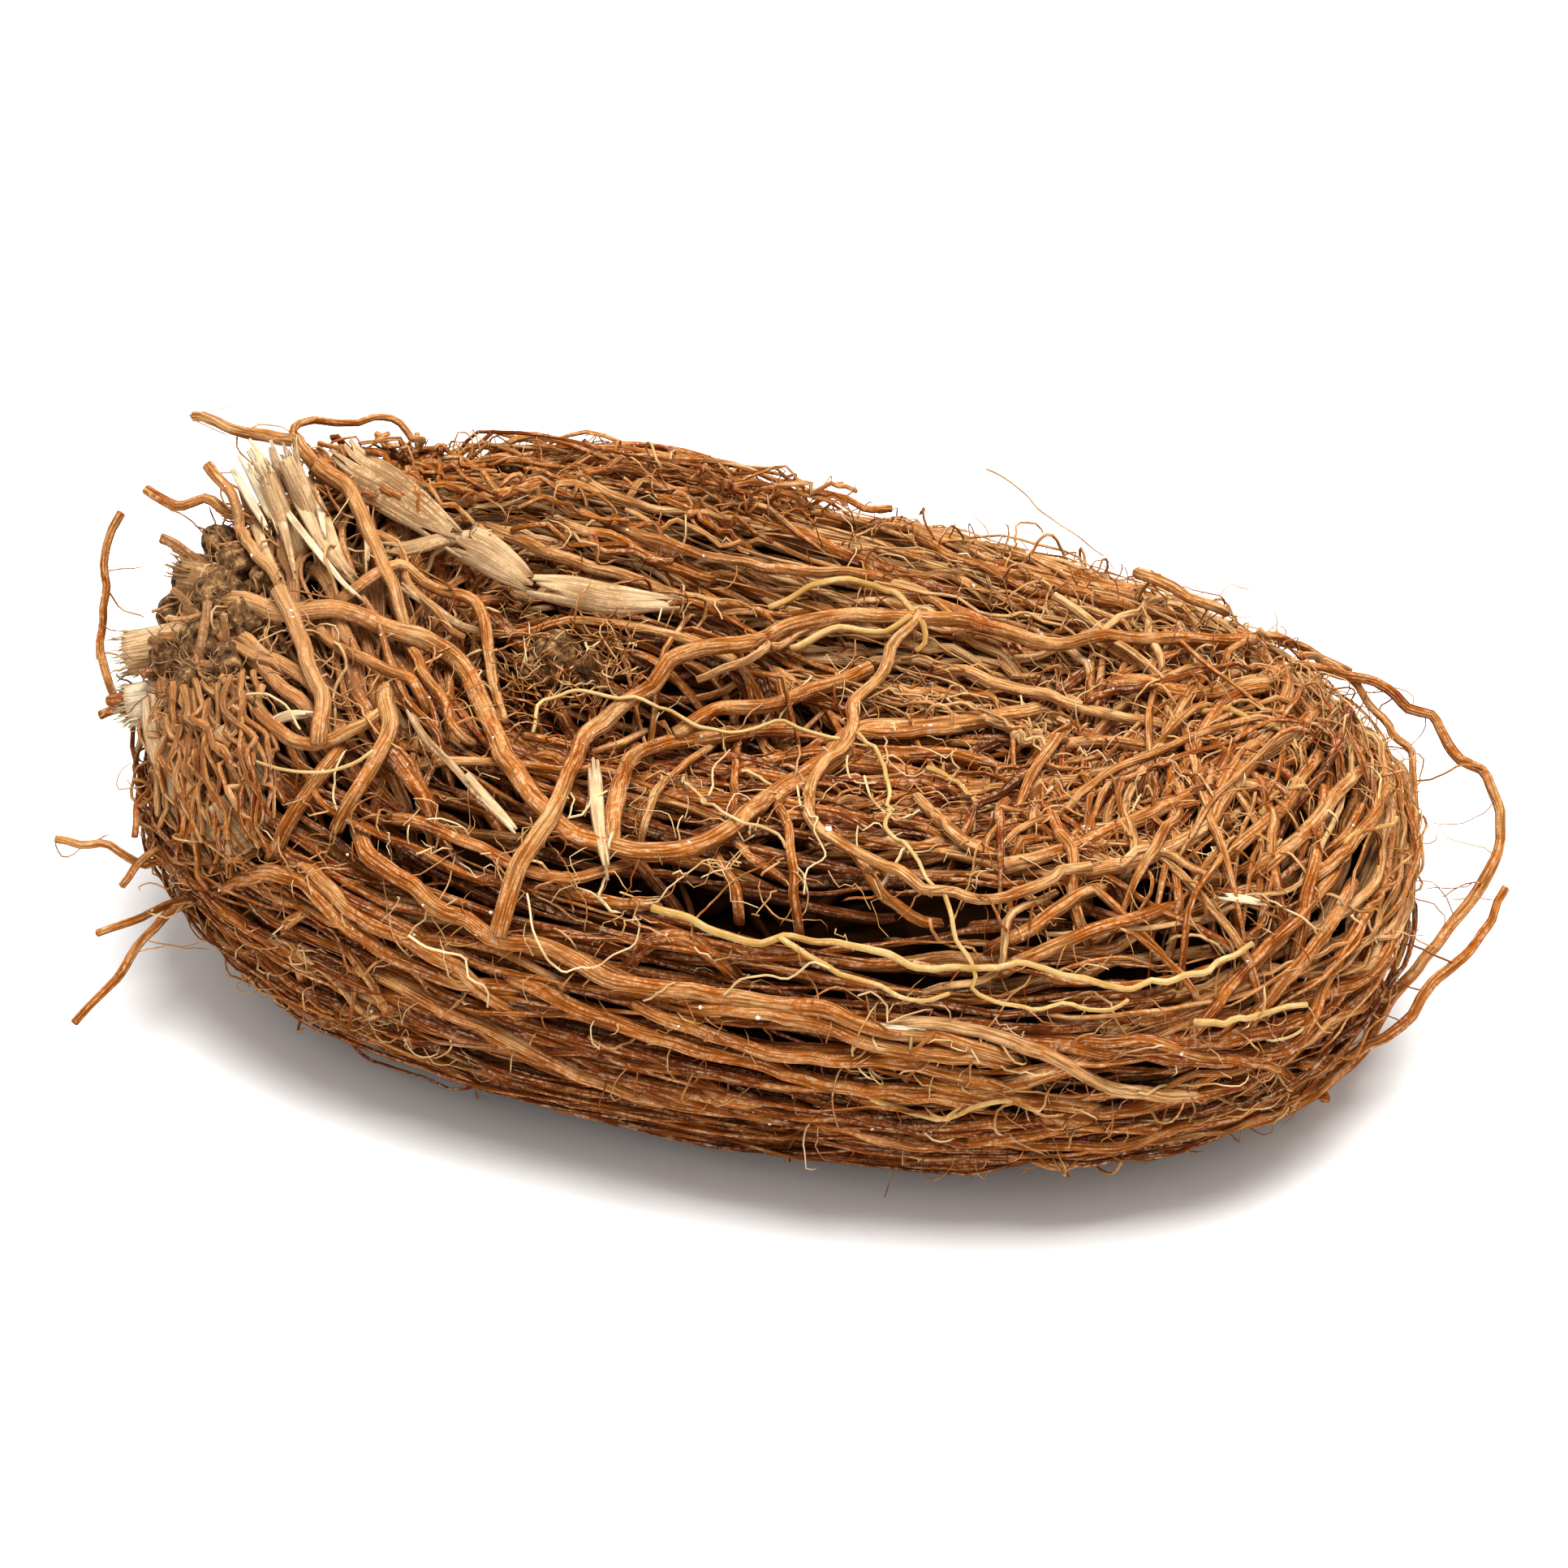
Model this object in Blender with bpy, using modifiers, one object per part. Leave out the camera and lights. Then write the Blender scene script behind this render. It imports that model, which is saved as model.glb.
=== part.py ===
"""Vetiver root: one dried rootstock, its long roots folded round from the crown into an oval nest.

The nest lies on its underside. The frame: origin in the middle of the flat spot that it rests on, +X along
the nest towards the folded end, the crown at -X, the front strand at -Y, +Z up. All sizes are in metres.
"""

import math
import random

import bmesh
import bpy
from mathutils import Vector, noise

MM = 0.001

# The nest, measured to the middle of its outermost roots: an oval strand round a shallow hollow
NEST_LENGTH = 156 * MM
NEST_DEPTH = 93 * MM
HOLLOW_LENGTH = 68 * MM
HOLLOW_DEPTH = 18 * MM
STRAND_MIDDLE = 24.5 * MM
STRAND_HEIGHT = 45 * MM
HOLLOW_FLOOR = 35 * MM
BRIDGE_HEIGHT = 40 * MM
PLAN_SQUARENESS = 2.4  # 2 would be a plain oval
END_FULLNESS = 0.08  # how much deeper the folded end is than the middle, and the crown end shallower
CROWN_ANGLE = 0.86 * math.pi
FAR_HEIGHT = 0.92  # the strand's height away from the crown, as a share of the middle height
CROWN_RISE = 0.3
LOWEST_MIDDLE = 1.9 * MM

# The packed core that the roots stand out of, and the flat spot that it rests on
CORE_REACH = 0.9
CORE_SEGMENTS = 24
CORE_RINGS = 48
UNDER_TURN = -105
INNER_TURN = 165
RIDGE_SHARE = 0.035
RIDGE_WANDER = 0.16
WANDER_CYCLES = 2.2
SWELL_CYCLES = 2.6
FLAT_LENGTH = 64 * MM
FLAT_WIDTH = 36 * MM

# Roots in the strand: angles are in radians, and reaches and sinks are shares of half the strand's height
ROOT_STEP = 13 * MM
LONG_ROOTS = 16
LONG_SPANS = (1.9, 3.3)
LONG_SIZES = (2.2, 3.1)
CROWN_SPREAD = 0.5
BROKEN_ROOTS = 6
BROKEN_SPANS = (0.8, 1.7)
BROKEN_SIZES = (2.0, 2.8)
HANK_TURNS = (-1.1, math.pi + 0.5)
HANK_DRIFT = 0.5
HANK_REACHES = (0.97, 1.0)
HANK_WEAVES = (2.5, 5.5)
HANK_SWING = 0.05
HANK_WANDER = 0.1
HANK_SINK = 0.12
SUNK_SHARE = 1 / 6
BRIDGING_ROOTS = 6
BRIDGE_SPANS = (0.7 * math.pi, 1.3 * math.pi)
BRIDGE_TURNS = (1.9, 2.5)
BRIDGE_SIZES = (1.8, 2.4)
BRIDGE_REACH = 0.97
BRIDGE_ROOTED_REACH = 0.9
BRIDGE_ROOTED_TURN = 0.5
LAID_STEP = 10 * MM
SEED = 7

# Pieces of another colour lie in a slot of their own, with this much room round them
CLEARANCE = 0.3 * MM
KNOT_LUMPS = 0.22
SHEATH_THICKNESS = 0.9 * MM
SHEATH_STEP = 3 * MM
SHEATH_END_WIDTH = 0.45
SHEATH_TAPER = (0.12, 0.88)

# Routes are drawn as seen from the front and above: millimetres across and down a square drawing
VIEW_AZIMUTH = math.radians(13)
VIEW_ELEVATION = math.radians(38)
EYE_DISTANCE = 1000 * MM
DRAWING_SIDE = 193.2 * MM
DRAWING_MIDDLE_ACROSS = 1.1 * MM
DRAWING_MIDDLE_UP = 3.4 * MM
SIGHT_REACH = 75 * MM
SIGHT_STEP = 1 * MM

RIGHT = Vector((math.cos(VIEW_AZIMUTH), math.sin(VIEW_AZIMUTH), 0))
TO_EYE = Vector(
    (
        math.sin(VIEW_AZIMUTH) * math.cos(VIEW_ELEVATION),
        -math.cos(VIEW_AZIMUTH) * math.cos(VIEW_ELEVATION),
        math.sin(VIEW_ELEVATION),
    )
)
UPWARD = TO_EYE.cross(RIGHT)
DRAWING_MIDDLE = (
    Vector((0, 0, STRAND_MIDDLE)) + RIGHT * DRAWING_MIDDLE_ACROSS + UPWARD * DRAWING_MIDDLE_UP
)

# Thick roots that lie on top: diameters at both ends, lift of the middle, then the route.
# A third number in a route is the height above the resting plane, where the root stands clear of the nest.
LAID_ROOTS = [
    (3.0, 2.2, 1.2, [(26.8, 71.8), (34.4, 75.3), (44.6, 76.7), (56.2, 82.0), (59.8, 87.8), (67.4, 99.9),
                     (72.5, 103.5), (81.4, 104.8), (90.4, 102.1), (98.8, 95.9), (105.1, 90.1),
                     (115.8, 89.6), (130.0, 86.5), (140.0, 88.0)]),
    (2.4, 2.0, 3.0, [(61.6, 115.4), (64.0, 108.4), (68.7, 98.1), (72.5, 90.1), (78.7, 85.2), (83.2, 81.2),
                     (91.2, 79.4), (102.9, 76.2), (111.8, 75.8), (124.3, 77.6), (134.0, 78.6),
                     (146.1, 80.0), (152.5, 80.4)]),
    (2.2, 2.0, 1.0, [(75.6, 103.5), (75.4, 99.9), (76.3, 96.3), (80.1, 92.3), (88.6, 90.5), (97.9, 89.2)]),
    (2.4, 2.2, 1.6, [(73.4, 92.3), (80.0, 90.5), (86.8, 87.2), (95.7, 86.5), (103.7, 84.3), (107.3, 82.1)]),
    (1.6, 1.5, 2.6, [(109.5, 80.7), (106.4, 86.5), (102.0, 94.5), (100.4, 101.2), (106.4, 106.2),
                     (116.7, 108.4), (127.0, 106.1)]),
    (2.4, 2.2, 1.0, [(105.4, 89.2), (118.0, 88.5), (129.6, 86.9), (145.2, 84.7), (156.4, 83.5)]),
    (2.4, 2.2, 3.2, [(26.3, 57.9, 57), (30.8, 65.5, 57), (35.3, 73.6), (38.4, 80.7), (39.7, 87.9),
                     (39.5, 91.2)]),
    (2.7, 2.2, 2.4, [(24.6, 51.5, 58), (31.3, 53.5, 60), (37.9, 55.7, 61), (42.9, 59.3, 60), (45.1, 65.1),
                     (47.8, 71.3), (50.0, 76.7)]),
    (2.2, 2.0, 1.6, [(42.0, 102.1), (46.0, 95.0), (48.0, 88.8), (47.8, 84.3)]),
    (2.2, 2.0, 1.2, [(31.3, 87.4), (35.7, 91.9), (42.9, 91.0), (46.4, 89.2)]),
    (2.0, 2.0, 1.0, [(29.0, 77.6), (35.7, 82.0), (41.0, 87.5)]),
    (2.0, 1.8, 1.4, [(51.3, 72.7), (58.0, 75.3), (62.5, 78.9), (63.8, 82.0)]),
    (2.8, 2.6, 0.9, [(50.0, 109.5), (60.0, 116.3), (69.8, 118.6), (80.1, 122.1), (91.2, 123.5),
                     (102.9, 124.4), (114.5, 128.4), (128.0, 130.5)]),
    (2.6, 2.4, 0.9, [(45.0, 119.0), (54.9, 124.4), (64.7, 129.3), (73.4, 132.4), (85.0, 136.0)]),
    (2.2, 2.0, 0.8, [(88.6, 132.4), (95.7, 136.0), (104.6, 138.2), (113.6, 139.6), (124.7, 139.4),
                     (135.4, 138.6), (143.6, 137.4)]),
]

# Roots that stand away from the nest and come back to it, or end in the air
STRAY_ROOTS = [
    (2.4, 1.6, 0.6, [(128.4, 137.6), (135.4, 138.4, 8), (146.1, 139.5, 7), (156.4, 137.6, 7),
                     (164.8, 132.0, 9), (171.8, 122.7, 12), (178.8, 113.3, 16), (184.9, 104.9, 20),
                     (184.2, 97.9, 24), (180.2, 93.7, 26), (176.0, 88.4, 29), (169.5, 86.7, 31),
                     (160.0, 84.9)]),
    (1.8, 1.4, 0.0, [(160.0, 129.0), (167.7, 129.2, 11), (173.7, 124.9, 13), (179.8, 118.6, 16),
                     (185.6, 111.4, 20)]),
    (1.6, 1.4, 0.0, [(146.0, 127.0), (153.6, 131.1), (163.7, 136.5, 9)]),
    (1.8, 1.4, 0.5, [(32.0, 104.0), (29.0, 105.0), (21.4, 105.8, 19), (13.8, 104.3, 21), (7.1, 103.6, 22)]),
    (1.6, 1.4, 0.5, [(30.0, 102.0), (24.1, 102.9), (19.6, 104.8, 22), (14.7, 109.5, 20)]),
    (1.9, 1.4, 0.5, [(36.8, 107.4), (30.8, 108.4), (26.8, 109.2, 17), (18.8, 114.6, 15), (14.7, 119.9, 13),
                     (9.2, 126.2, 11)]),
    (1.5, 1.3, 0.3, [(28.0, 108.0), (20.0, 112.8, 16), (12.3, 115.4, 15)]),
    (1.5, 1.5, 0.3, [(31.0, 71.0), (20.4, 62.6, 49), (14.1, 65.6, 42), (12.7, 73.6, 38), (12.3, 80.7, 34),
                     (14.3, 87.4, 31), (18.7, 92.4, 28), (25.0, 94.5)]),
    (1.7, 1.5, 0.5, [(33.0, 66.0), (28.1, 63.3, 54), (22.3, 62.2, 54), (17.9, 60.4, 53)]),
    (1.5, 1.3, 0.5, [(26.0, 95.0), (20.5, 97.0, 26), (16.0, 99.1, 25), (15.5, 105.5, 22)]),
    (1.5, 1.3, 0.5, [(70.0, 60.8), (81.0, 59.7, 51), (88.6, 60.0, 50), (98.3, 61.8, 49), (108.2, 65.0)]),
    (1.6, 1.5, 0.5, [(38.0, 112.0), (32.1, 115.1, 13), (33.5, 120.0, 10), (38.8, 121.3), (44.0, 121.0)]),
    (1.6, 1.5, 0.5, [(39.3, 118.6), (44.0, 125.8, 8), (49.1, 130.0, 6), (56.0, 129.5), (60.0, 128.0)]),
]

# The crown's knots, where the roots leave it: place on the drawing, radius and sink
CROWN_KNOTS = [
    (29.0, 74.0, 6.5, 2.5),
    (32.5, 81.0, 6.0, 3.0),
    (27.5, 87.0, 5.5, 3.0),
    (37.0, 70.0, 5.0, 2.0),
]

# Culms: name, diameters at the crown and at the cut end, lift, then both ends on the drawing
CULMS = [
    ("culm_base_1", 6.0, 5.4, 0, (31.0, 77.5, 39), (15.8, 80.5, 35)),
    ("culm_base_2", 5.6, 5.0, 0, (30.0, 84.6, 33.5), (16.2, 87.0, 28.5)),
    ("culm_base_3", 5.0, 4.6, 0, (33.0, 73.5, 47), (21.0, 70.5, 44)),
    ("culm_stub_1", 2.6, 2.4, 0, (36.8, 69.0, 54.5), (33.0, 58.6, 57.5)),
    ("culm_stub_2", 2.8, 2.6, 0, (41.8, 70.5, 53.5), (35.5, 56.5, 60)),
    ("culm_joint_1", 4.6, 4.4, 1.8, (34.0, 98.3), (27.5, 89.6)),
    ("culm_joint_2", 4.4, 4.2, 1.8, (32.2, 105.2), (27.0, 98.6)),
]

# Leaf-sheath scraps: name, width, curl across, lift, then the route
SHEATHS = [
    ("sheath_fibrous", 4.6, 1.2, 3.6, [(43.0, 57.2, 60), (47.5, 59.6), (54.5, 64.0)]),
    ("sheath_strip", 1.8, 0.2, 3.0, [(50.0, 68.4), (55.0, 66.6), (60.5, 66.0)]),
    ("sheath_oval", 4.6, 0.8, 3.2, [(56.2, 68.8), (60.6, 71.0), (65.3, 74.4)]),
    ("sheath_pointed", 3.6, 0.9, 2.6, [(67.5, 70.6), (75.0, 72.8), (84.0, 73.6)]),
    ("sheath_front", 2.4, 0.4, 1.6, [(20.2, 90.9, 27), (20.6, 96.9, 24), (24.0, 101.5, 21)]),
]

# Young roots: name, diameters at both ends, lift, then the route
YOUNG_ROOTS = [
    ("young_root_1", 1.4, 1.1, 2.4, [(80.6, 111.8), (89.9, 115.2), (100.0, 115.7), (112.0, 117.2),
                                     (125.0, 119.2), (135.5, 121.6), (139.5, 122.0), (146.0, 120.6),
                                     (154.2, 116.1)]),
    ("young_root_2", 1.3, 1.1, 3.4, [(94.6, 74.8), (98.4, 72.4), (104.1, 70.9), (110.0, 72.4),
                                     (113.6, 70.0)]),
    ("young_root_3", 1.2, 1.0, 1.8, [(147.0, 125.4), (151.0, 126.7), (155.6, 125.1), (160.4, 123.9)]),
]


def mix(low, high, share):
    return low + (high - low) * share


def rise(around):
    """How much taller the strand stands towards the crown."""
    return FAR_HEIGHT + CROWN_RISE * (0.5 + 0.5 * math.cos(around - CROWN_ANGLE)) ** 4


def fullness(x):
    """How much deeper the nest is at x than a plain oval."""
    return 1 + END_FULLNESS * x / (NEST_LENGTH / 2)


def rounded(ratio):
    """A cosine or sine bent to the plan's squareness."""
    return math.copysign(abs(ratio) ** (2 / PLAN_SQUARENESS), ratio)


def nest_point(around, turn, reach):
    """A point of the strand: how far round the nest, how far round its section, and how far out of it."""
    outward = 0.5 + 0.5 * reach * math.cos(turn)
    height = (STRAND_MIDDLE + STRAND_HEIGHT / 2 * reach * math.sin(turn)) * rise(around)
    if math.cos(turn) < 0 < math.sin(turn):
        height = max(height, HOLLOW_FLOOR + STRAND_HEIGHT / 2 * (reach - CORE_REACH))
    x = mix(HOLLOW_LENGTH, NEST_LENGTH, outward) / 2 * rounded(math.cos(around))
    y = mix(HOLLOW_DEPTH, NEST_DEPTH, outward) / 2 * rounded(math.sin(around)) * fullness(x)
    return Vector((x, y, max(height, LOWEST_MIDDLE)))


def outward_share(x, y):
    """0 on the hollow's edge, 1 on the nest's outline, below 0 inside the hollow."""
    y /= fullness(x)
    low = -1.0
    high = 2.0
    for _ in range(24):
        middle = (low + high) / 2
        across = abs(2 * x / max(mix(HOLLOW_LENGTH, NEST_LENGTH, middle), MM))
        along = abs(2 * y / max(mix(HOLLOW_DEPTH, NEST_DEPTH, middle), MM))
        if across**PLAN_SQUARENESS + along**PLAN_SQUARENESS > 1:
            low = middle
        else:
            high = middle
    return (low + high) / 2


def in_nest(point):
    """Whether a point lies in the nest, whose hollow counts as bridged over."""
    outward = outward_share(point.x, point.y)
    if outward > 1:
        return False
    depth = NEST_DEPTH * fullness(point.x)
    around = math.atan2(point.y / depth, point.x / NEST_LENGTH)
    half = STRAND_HEIGHT / 2 * math.sqrt(max(0, 1 - (2 * max(outward, 0) - 1) ** 2))
    top = STRAND_MIDDLE + half
    bottom = STRAND_MIDDLE - half
    if outward < 0.5:
        top = max(top, BRIDGE_HEIGHT)
        bottom = 0
    return bottom * rise(around) < point.z < top * rise(around)


def seen_point(across, down, nearer):
    """The point seen at that place on the drawing, so much nearer to the eye than the drawing's plane."""
    offset = RIGHT * (across * MM - DRAWING_SIDE / 2) + UPWARD * (DRAWING_SIDE / 2 - down * MM)
    return DRAWING_MIDDLE + offset * (1 - nearer / EYE_DISTANCE) + TO_EYE * nearer


def on_nest(across, down, lift):
    """Where the line of sight meets the nest, lifted back along it."""
    nearer = SIGHT_REACH
    while nearer > -SIGHT_REACH and not in_nest(seen_point(across, down, nearer)):
        nearer -= SIGHT_STEP
    inner = nearer
    outer = nearer + SIGHT_STEP
    for _ in range(6):
        middle = (inner + outer) / 2
        if in_nest(seen_point(across, down, middle)):
            inner = middle
        else:
            outer = middle
    return seen_point(across, down, inner + lift)


def at_height(across, down, height):
    """Where the line of sight meets the level plane at that height."""
    start = seen_point(across, down, 0)
    step = seen_point(across, down, MM) - start
    return seen_point(across, down, (height - start.z) / step.z * MM)


def laid_points(route, lift):
    """The route's points in space: on the nest, or at the height that a third number gives."""
    points = []
    for place in route:
        if len(place) == 3:
            points.append(at_height(place[0], place[1], place[2] * MM))
        else:
            points.append(on_nest(place[0], place[1], lift * MM))
        points[-1].z = max(points[-1].z, LOWEST_MIDDLE)
    return points


def smooth_route(points, step):
    """A smooth curve through the points, read about every step."""
    ends = [points[0] * 2 - points[1], *points, points[-1] * 2 - points[-2]]
    route = [points[0]]
    for before, start, end, after in zip(ends, ends[1:], ends[2:], ends[3:]):
        pieces = max(1, round((end - start).length / step))
        for index in range(1, pieces + 1):
            share = index / pieces
            route.append(
                0.5
                * (
                    2 * start
                    + (end - before) * share
                    + (2 * before - 5 * start + 4 * end - after) * share**2
                    + (3 * start - before - 3 * end + after) * share**3
                )
            )
    return route


def material(name, colour, roughness):
    """A Principled finish with the given colour (linear) and roughness."""
    made = bpy.data.materials.new(name)
    made.use_nodes = True
    shader = made.node_tree.nodes["Principled BSDF"]
    shader.inputs["Base Color"].default_value = (*colour, 1)
    shader.inputs["Roughness"].default_value = roughness
    shader.inputs["Metallic"].default_value = 0
    return made


def add_object(name, mesh, collection):
    made = bpy.data.objects.new(name, mesh)
    collection.objects.link(made)
    return made


def evaluated_mesh(source):
    """The mesh that an object's curve or modifiers make."""
    bpy.context.view_layer.update()
    return bpy.data.meshes.new_from_object(source.evaluated_get(bpy.context.evaluated_depsgraph_get()))


def welded(mesh):
    """The same mesh with its loose caps or edges welded on and its faces pointing out."""
    cage = bmesh.new()
    cage.from_mesh(mesh)
    bmesh.ops.remove_doubles(cage, verts=cage.verts, dist=0.01 * MM)
    bmesh.ops.recalc_face_normals(cage, faces=cage.faces)
    cage.to_mesh(mesh)
    cage.free()
    return mesh


def tube(name, route, radii, round_steps, collection):
    """A capped tube along a route, with a radius at each of its points."""
    curve = bpy.data.curves.new(name, "CURVE")
    curve.dimensions = "3D"
    curve.bevel_depth = 1
    curve.bevel_resolution = round_steps
    curve.use_fill_caps = True
    spline = curve.splines.new("POLY")
    spline.points.add(len(route) - 1)
    for point, place, radius in zip(spline.points, route, radii):
        point.co = (*place, 1)
        point.radius = radius
    guide = add_object(name + "_guide", curve, collection)
    made = add_object(name, welded(evaluated_mesh(guide)), collection)
    made.matrix_world = guide.matrix_world
    bpy.data.objects.remove(guide)
    return made


def tapered(route, start_diameter, end_diameter, extra=0.0):
    """A radius for each point of a route, running evenly from one end's to the other's."""
    last = len(route) - 1
    return [mix(start_diameter, end_diameter, index / last) / 2 * MM + extra for index in range(last + 1)]


def make_core(name, collection):
    """The packed middle of the nest: a sphere reshaped to the strand's section, flat where it rests.

    Its rings run along the strand. Every other one is raised, so the roots packed side by side in it show
    as ridges, which wander across the section and swell and sink on their way round.
    """
    cage = bmesh.new()
    bmesh.ops.create_uvsphere(cage, u_segments=CORE_SEGMENTS, v_segments=CORE_RINGS, radius=1)
    for vertex in cage.verts:
        ring = round(math.acos(max(-1, min(1, -vertex.co.z))) / math.pi * CORE_RINGS)
        around = math.atan2(vertex.co.y, vertex.co.x)
        if ring == 0:
            vertex.co = Vector((0, 0, 0))
        elif ring == 1:
            x = FLAT_LENGTH / 2 * rounded(math.cos(around))
            y = FLAT_WIDTH / 2 * rounded(math.sin(around))
            vertex.co = Vector((x, y, 0))
        elif ring < CORE_RINGS - 1:
            turn = math.radians(mix(UNDER_TURN, INNER_TURN, (ring - 2) / (CORE_RINGS - 4)))
            circle = Vector((math.cos(around), math.sin(around), 0))
            wander = noise.noise(circle * WANDER_CYCLES + Vector((0, 0, 1.6 * turn)))
            swell = noise.noise(circle * SWELL_CYCLES + Vector((0, 0, 0.9 * ring)))
            ridge = RIDGE_SHARE * (1 + swell) * (1 if ring % 2 else -1)
            vertex.co = nest_point(around, turn + RIDGE_WANDER * wander, CORE_REACH + ridge)
        else:
            share = 0.5 if ring == CORE_RINGS - 1 else 0
            x = HOLLOW_LENGTH / 2 * share * rounded(math.cos(around))
            y = HOLLOW_DEPTH / 2 * share * rounded(math.sin(around))
            vertex.co = Vector((x, y, HOLLOW_FLOOR))
    bmesh.ops.recalc_face_normals(cage, faces=cage.faces)
    mesh = bpy.data.meshes.new(name)
    cage.to_mesh(mesh)
    cage.free()
    return add_object(name, mesh, collection)


def hank_route(draw, start, way, span):
    """A root that runs round the nest, weaving in and out of the core and sinking into it at both ends."""
    turn = draw.uniform(*HANK_TURNS)
    drift = draw.uniform(-HANK_DRIFT, HANK_DRIFT)
    weave = draw.uniform(*HANK_WEAVES)
    phase = draw.uniform(0, math.tau)
    reach = draw.uniform(*HANK_REACHES)
    steps = max(4, round(span * (NEST_LENGTH + NEST_DEPTH) / 4 / ROOT_STEP))
    route = []
    for index in range(steps + 1):
        share = index / steps
        sink = HANK_SINK * max(0, 1 - min(share, 1 - share) / SUNK_SHARE)
        swing = HANK_SWING * math.sin(phase + weave * math.pi * share)
        wander = HANK_WANDER * math.sin(1.7 * phase + 1.3 * weave * math.pi * share)
        around = start + way * span * share
        route.append(nest_point(around, turn + drift * share + wander, reach + swing - sink))
    return route


def bridge_route(draw):
    """A root that crosses the hollow from one side of the nest to the other."""
    start = draw.uniform(0, math.tau)
    end = start + draw.uniform(*BRIDGE_SPANS)
    low = draw.uniform(*BRIDGE_TURNS)
    first = nest_point(start, low - BRIDGE_ROOTED_TURN, BRIDGE_ROOTED_REACH)
    last = nest_point(end, low - BRIDGE_ROOTED_TURN, BRIDGE_ROOTED_REACH)
    route = [first, nest_point(start, low, BRIDGE_REACH), nest_point(end, low, BRIDGE_REACH), last]
    return smooth_route(route, ROOT_STEP)


def make_knot(name, across, down, radius, sink, collection):
    """A round knot of the crown, set into the nest."""
    cage = bmesh.new()
    bmesh.ops.create_uvsphere(cage, u_segments=10, v_segments=7, radius=radius * MM)
    for vertex in cage.verts:
        lump = noise.noise_vector(vertex.co / (radius * MM) + Vector((across, down, 0)))
        vertex.co += lump * radius * KNOT_LUMPS * MM
    bmesh.ops.translate(cage, verts=cage.verts, vec=on_nest(across, down, -sink * MM))
    mesh = bpy.data.meshes.new(name)
    cage.to_mesh(mesh)
    cage.free()
    return add_object(name, mesh, collection)


def make_culm(name, start_diameter, end_diameter, lift, start, end, extra, collection):
    """A straight stump of stem: longer and thicker by the extra where it is a slot's cutter."""
    ends = laid_points([start, end], lift)
    along = (ends[1] - ends[0]).normalized()
    route = [ends[0] - along * extra, (ends[0] + ends[1]) / 2, ends[1] + along * extra]
    return tube(name, route, tapered(route, start_diameter, end_diameter, extra), 2, collection)


def make_sheath(name, width, curl, lift, places, extra, collection):
    """A dry leaf sheath: a strip bent along its route and across, narrowing to blunt ends."""
    route = smooth_route(laid_points(places, lift), SHEATH_STEP)
    last = len(route) - 1
    cage = bmesh.new()
    bmesh.ops.create_grid(cage, x_segments=last, y_segments=4, size=0.5)
    for vertex in cage.verts:
        share = vertex.co.x + 0.5
        index = round(share * last)
        along = (route[min(index + 1, last)] - route[max(index - 1, 0)]).normalized()
        side = along.cross(TO_EYE).normalized()
        off = 2 * vertex.co.y
        broad = math.sin(math.pi * mix(*SHEATH_TAPER, share))
        half = width / 2 * MM * mix(SHEATH_END_WIDTH, 1, broad) + extra
        stretch = along * extra * (1 if index == last else -1 if index == 0 else 0)
        outward = side.cross(along)
        vertex.co = route[index] + stretch + side * half * off - outward * curl * MM * off**2
    mesh = bpy.data.meshes.new(name)
    cage.to_mesh(mesh)
    cage.free()
    sheet = add_object(name + "_sheet", mesh, collection)
    wall = sheet.modifiers.new("Wall", "SOLIDIFY")
    wall.thickness = SHEATH_THICKNESS + 2 * extra
    wall.offset = 0
    made = add_object(name, welded(evaluated_mesh(sheet)), collection)
    bpy.data.objects.remove(sheet)
    return made


def make_young_root(name, start_diameter, end_diameter, lift, places, extra, collection):
    """A smooth thin root that lies over the others."""
    route = smooth_route(laid_points(places, lift), LAID_STEP)
    first = (route[0] - route[1]).normalized() * extra
    final = (route[-1] - route[-2]).normalized() * extra
    route = [route[0] + first, *route[1:-1], route[-1] + final]
    return tube(name, route, tapered(route, start_diameter, end_diameter, extra), 1, collection)


def combine(target, operation, pieces):
    """Joins a collection's objects to the target, or cuts them out of it, and removes them."""
    modifier = target.modifiers.new(operation.title(), "BOOLEAN")
    modifier.operation = operation
    modifier.operand_type = "COLLECTION"
    modifier.collection = pieces
    modifier.solver = "MANIFOLD"
    combined = evaluated_mesh(target)
    target.modifiers.clear()
    target.data = combined
    for piece in list(pieces.objects):
        bpy.data.objects.remove(piece)


def keep_largest_body(target):
    """Drops loose scraps, and fills sealed hollows, by keeping only the largest connected surface."""
    cage = bmesh.new()
    cage.from_mesh(target.data)
    bmesh.ops.dissolve_degenerate(cage, edges=cage.edges, dist=0.002 * MM)
    unseen = set(cage.faces)
    bodies = []
    while unseen:
        front = [unseen.pop()]
        body = list(front)
        while front:
            face = front.pop()
            for edge in face.edges:
                for other in edge.link_faces:
                    if other in unseen:
                        unseen.remove(other)
                        front.append(other)
                        body.append(other)
        bodies.append(body)
    bodies.sort(key=len)
    scraps = [face for body in bodies[:-1] for face in body]
    bmesh.ops.delete(cage, geom=scraps, context="FACES")
    cage.to_mesh(target.data)
    cage.free()


for old in list(bpy.data.objects):
    bpy.data.objects.remove(old)

part = bpy.data.collections.new("vetiver_root")
fused = bpy.data.collections.new("fused_pieces")
slots = bpy.data.collections.new("slot_cutters")
for group in (part, fused, slots):
    bpy.context.scene.collection.children.link(group)

root_bark = material("dried_root_bark", (0.46, 0.2, 0.06), 0.75)
culm_straw = material("dried_culm", (0.62, 0.44, 0.22), 0.7)
sheath_straw = material("dry_leaf_sheath", (0.6, 0.4, 0.19), 0.8)
young_skin = material("young_root_skin", (0.72, 0.52, 0.24), 0.55)

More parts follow.
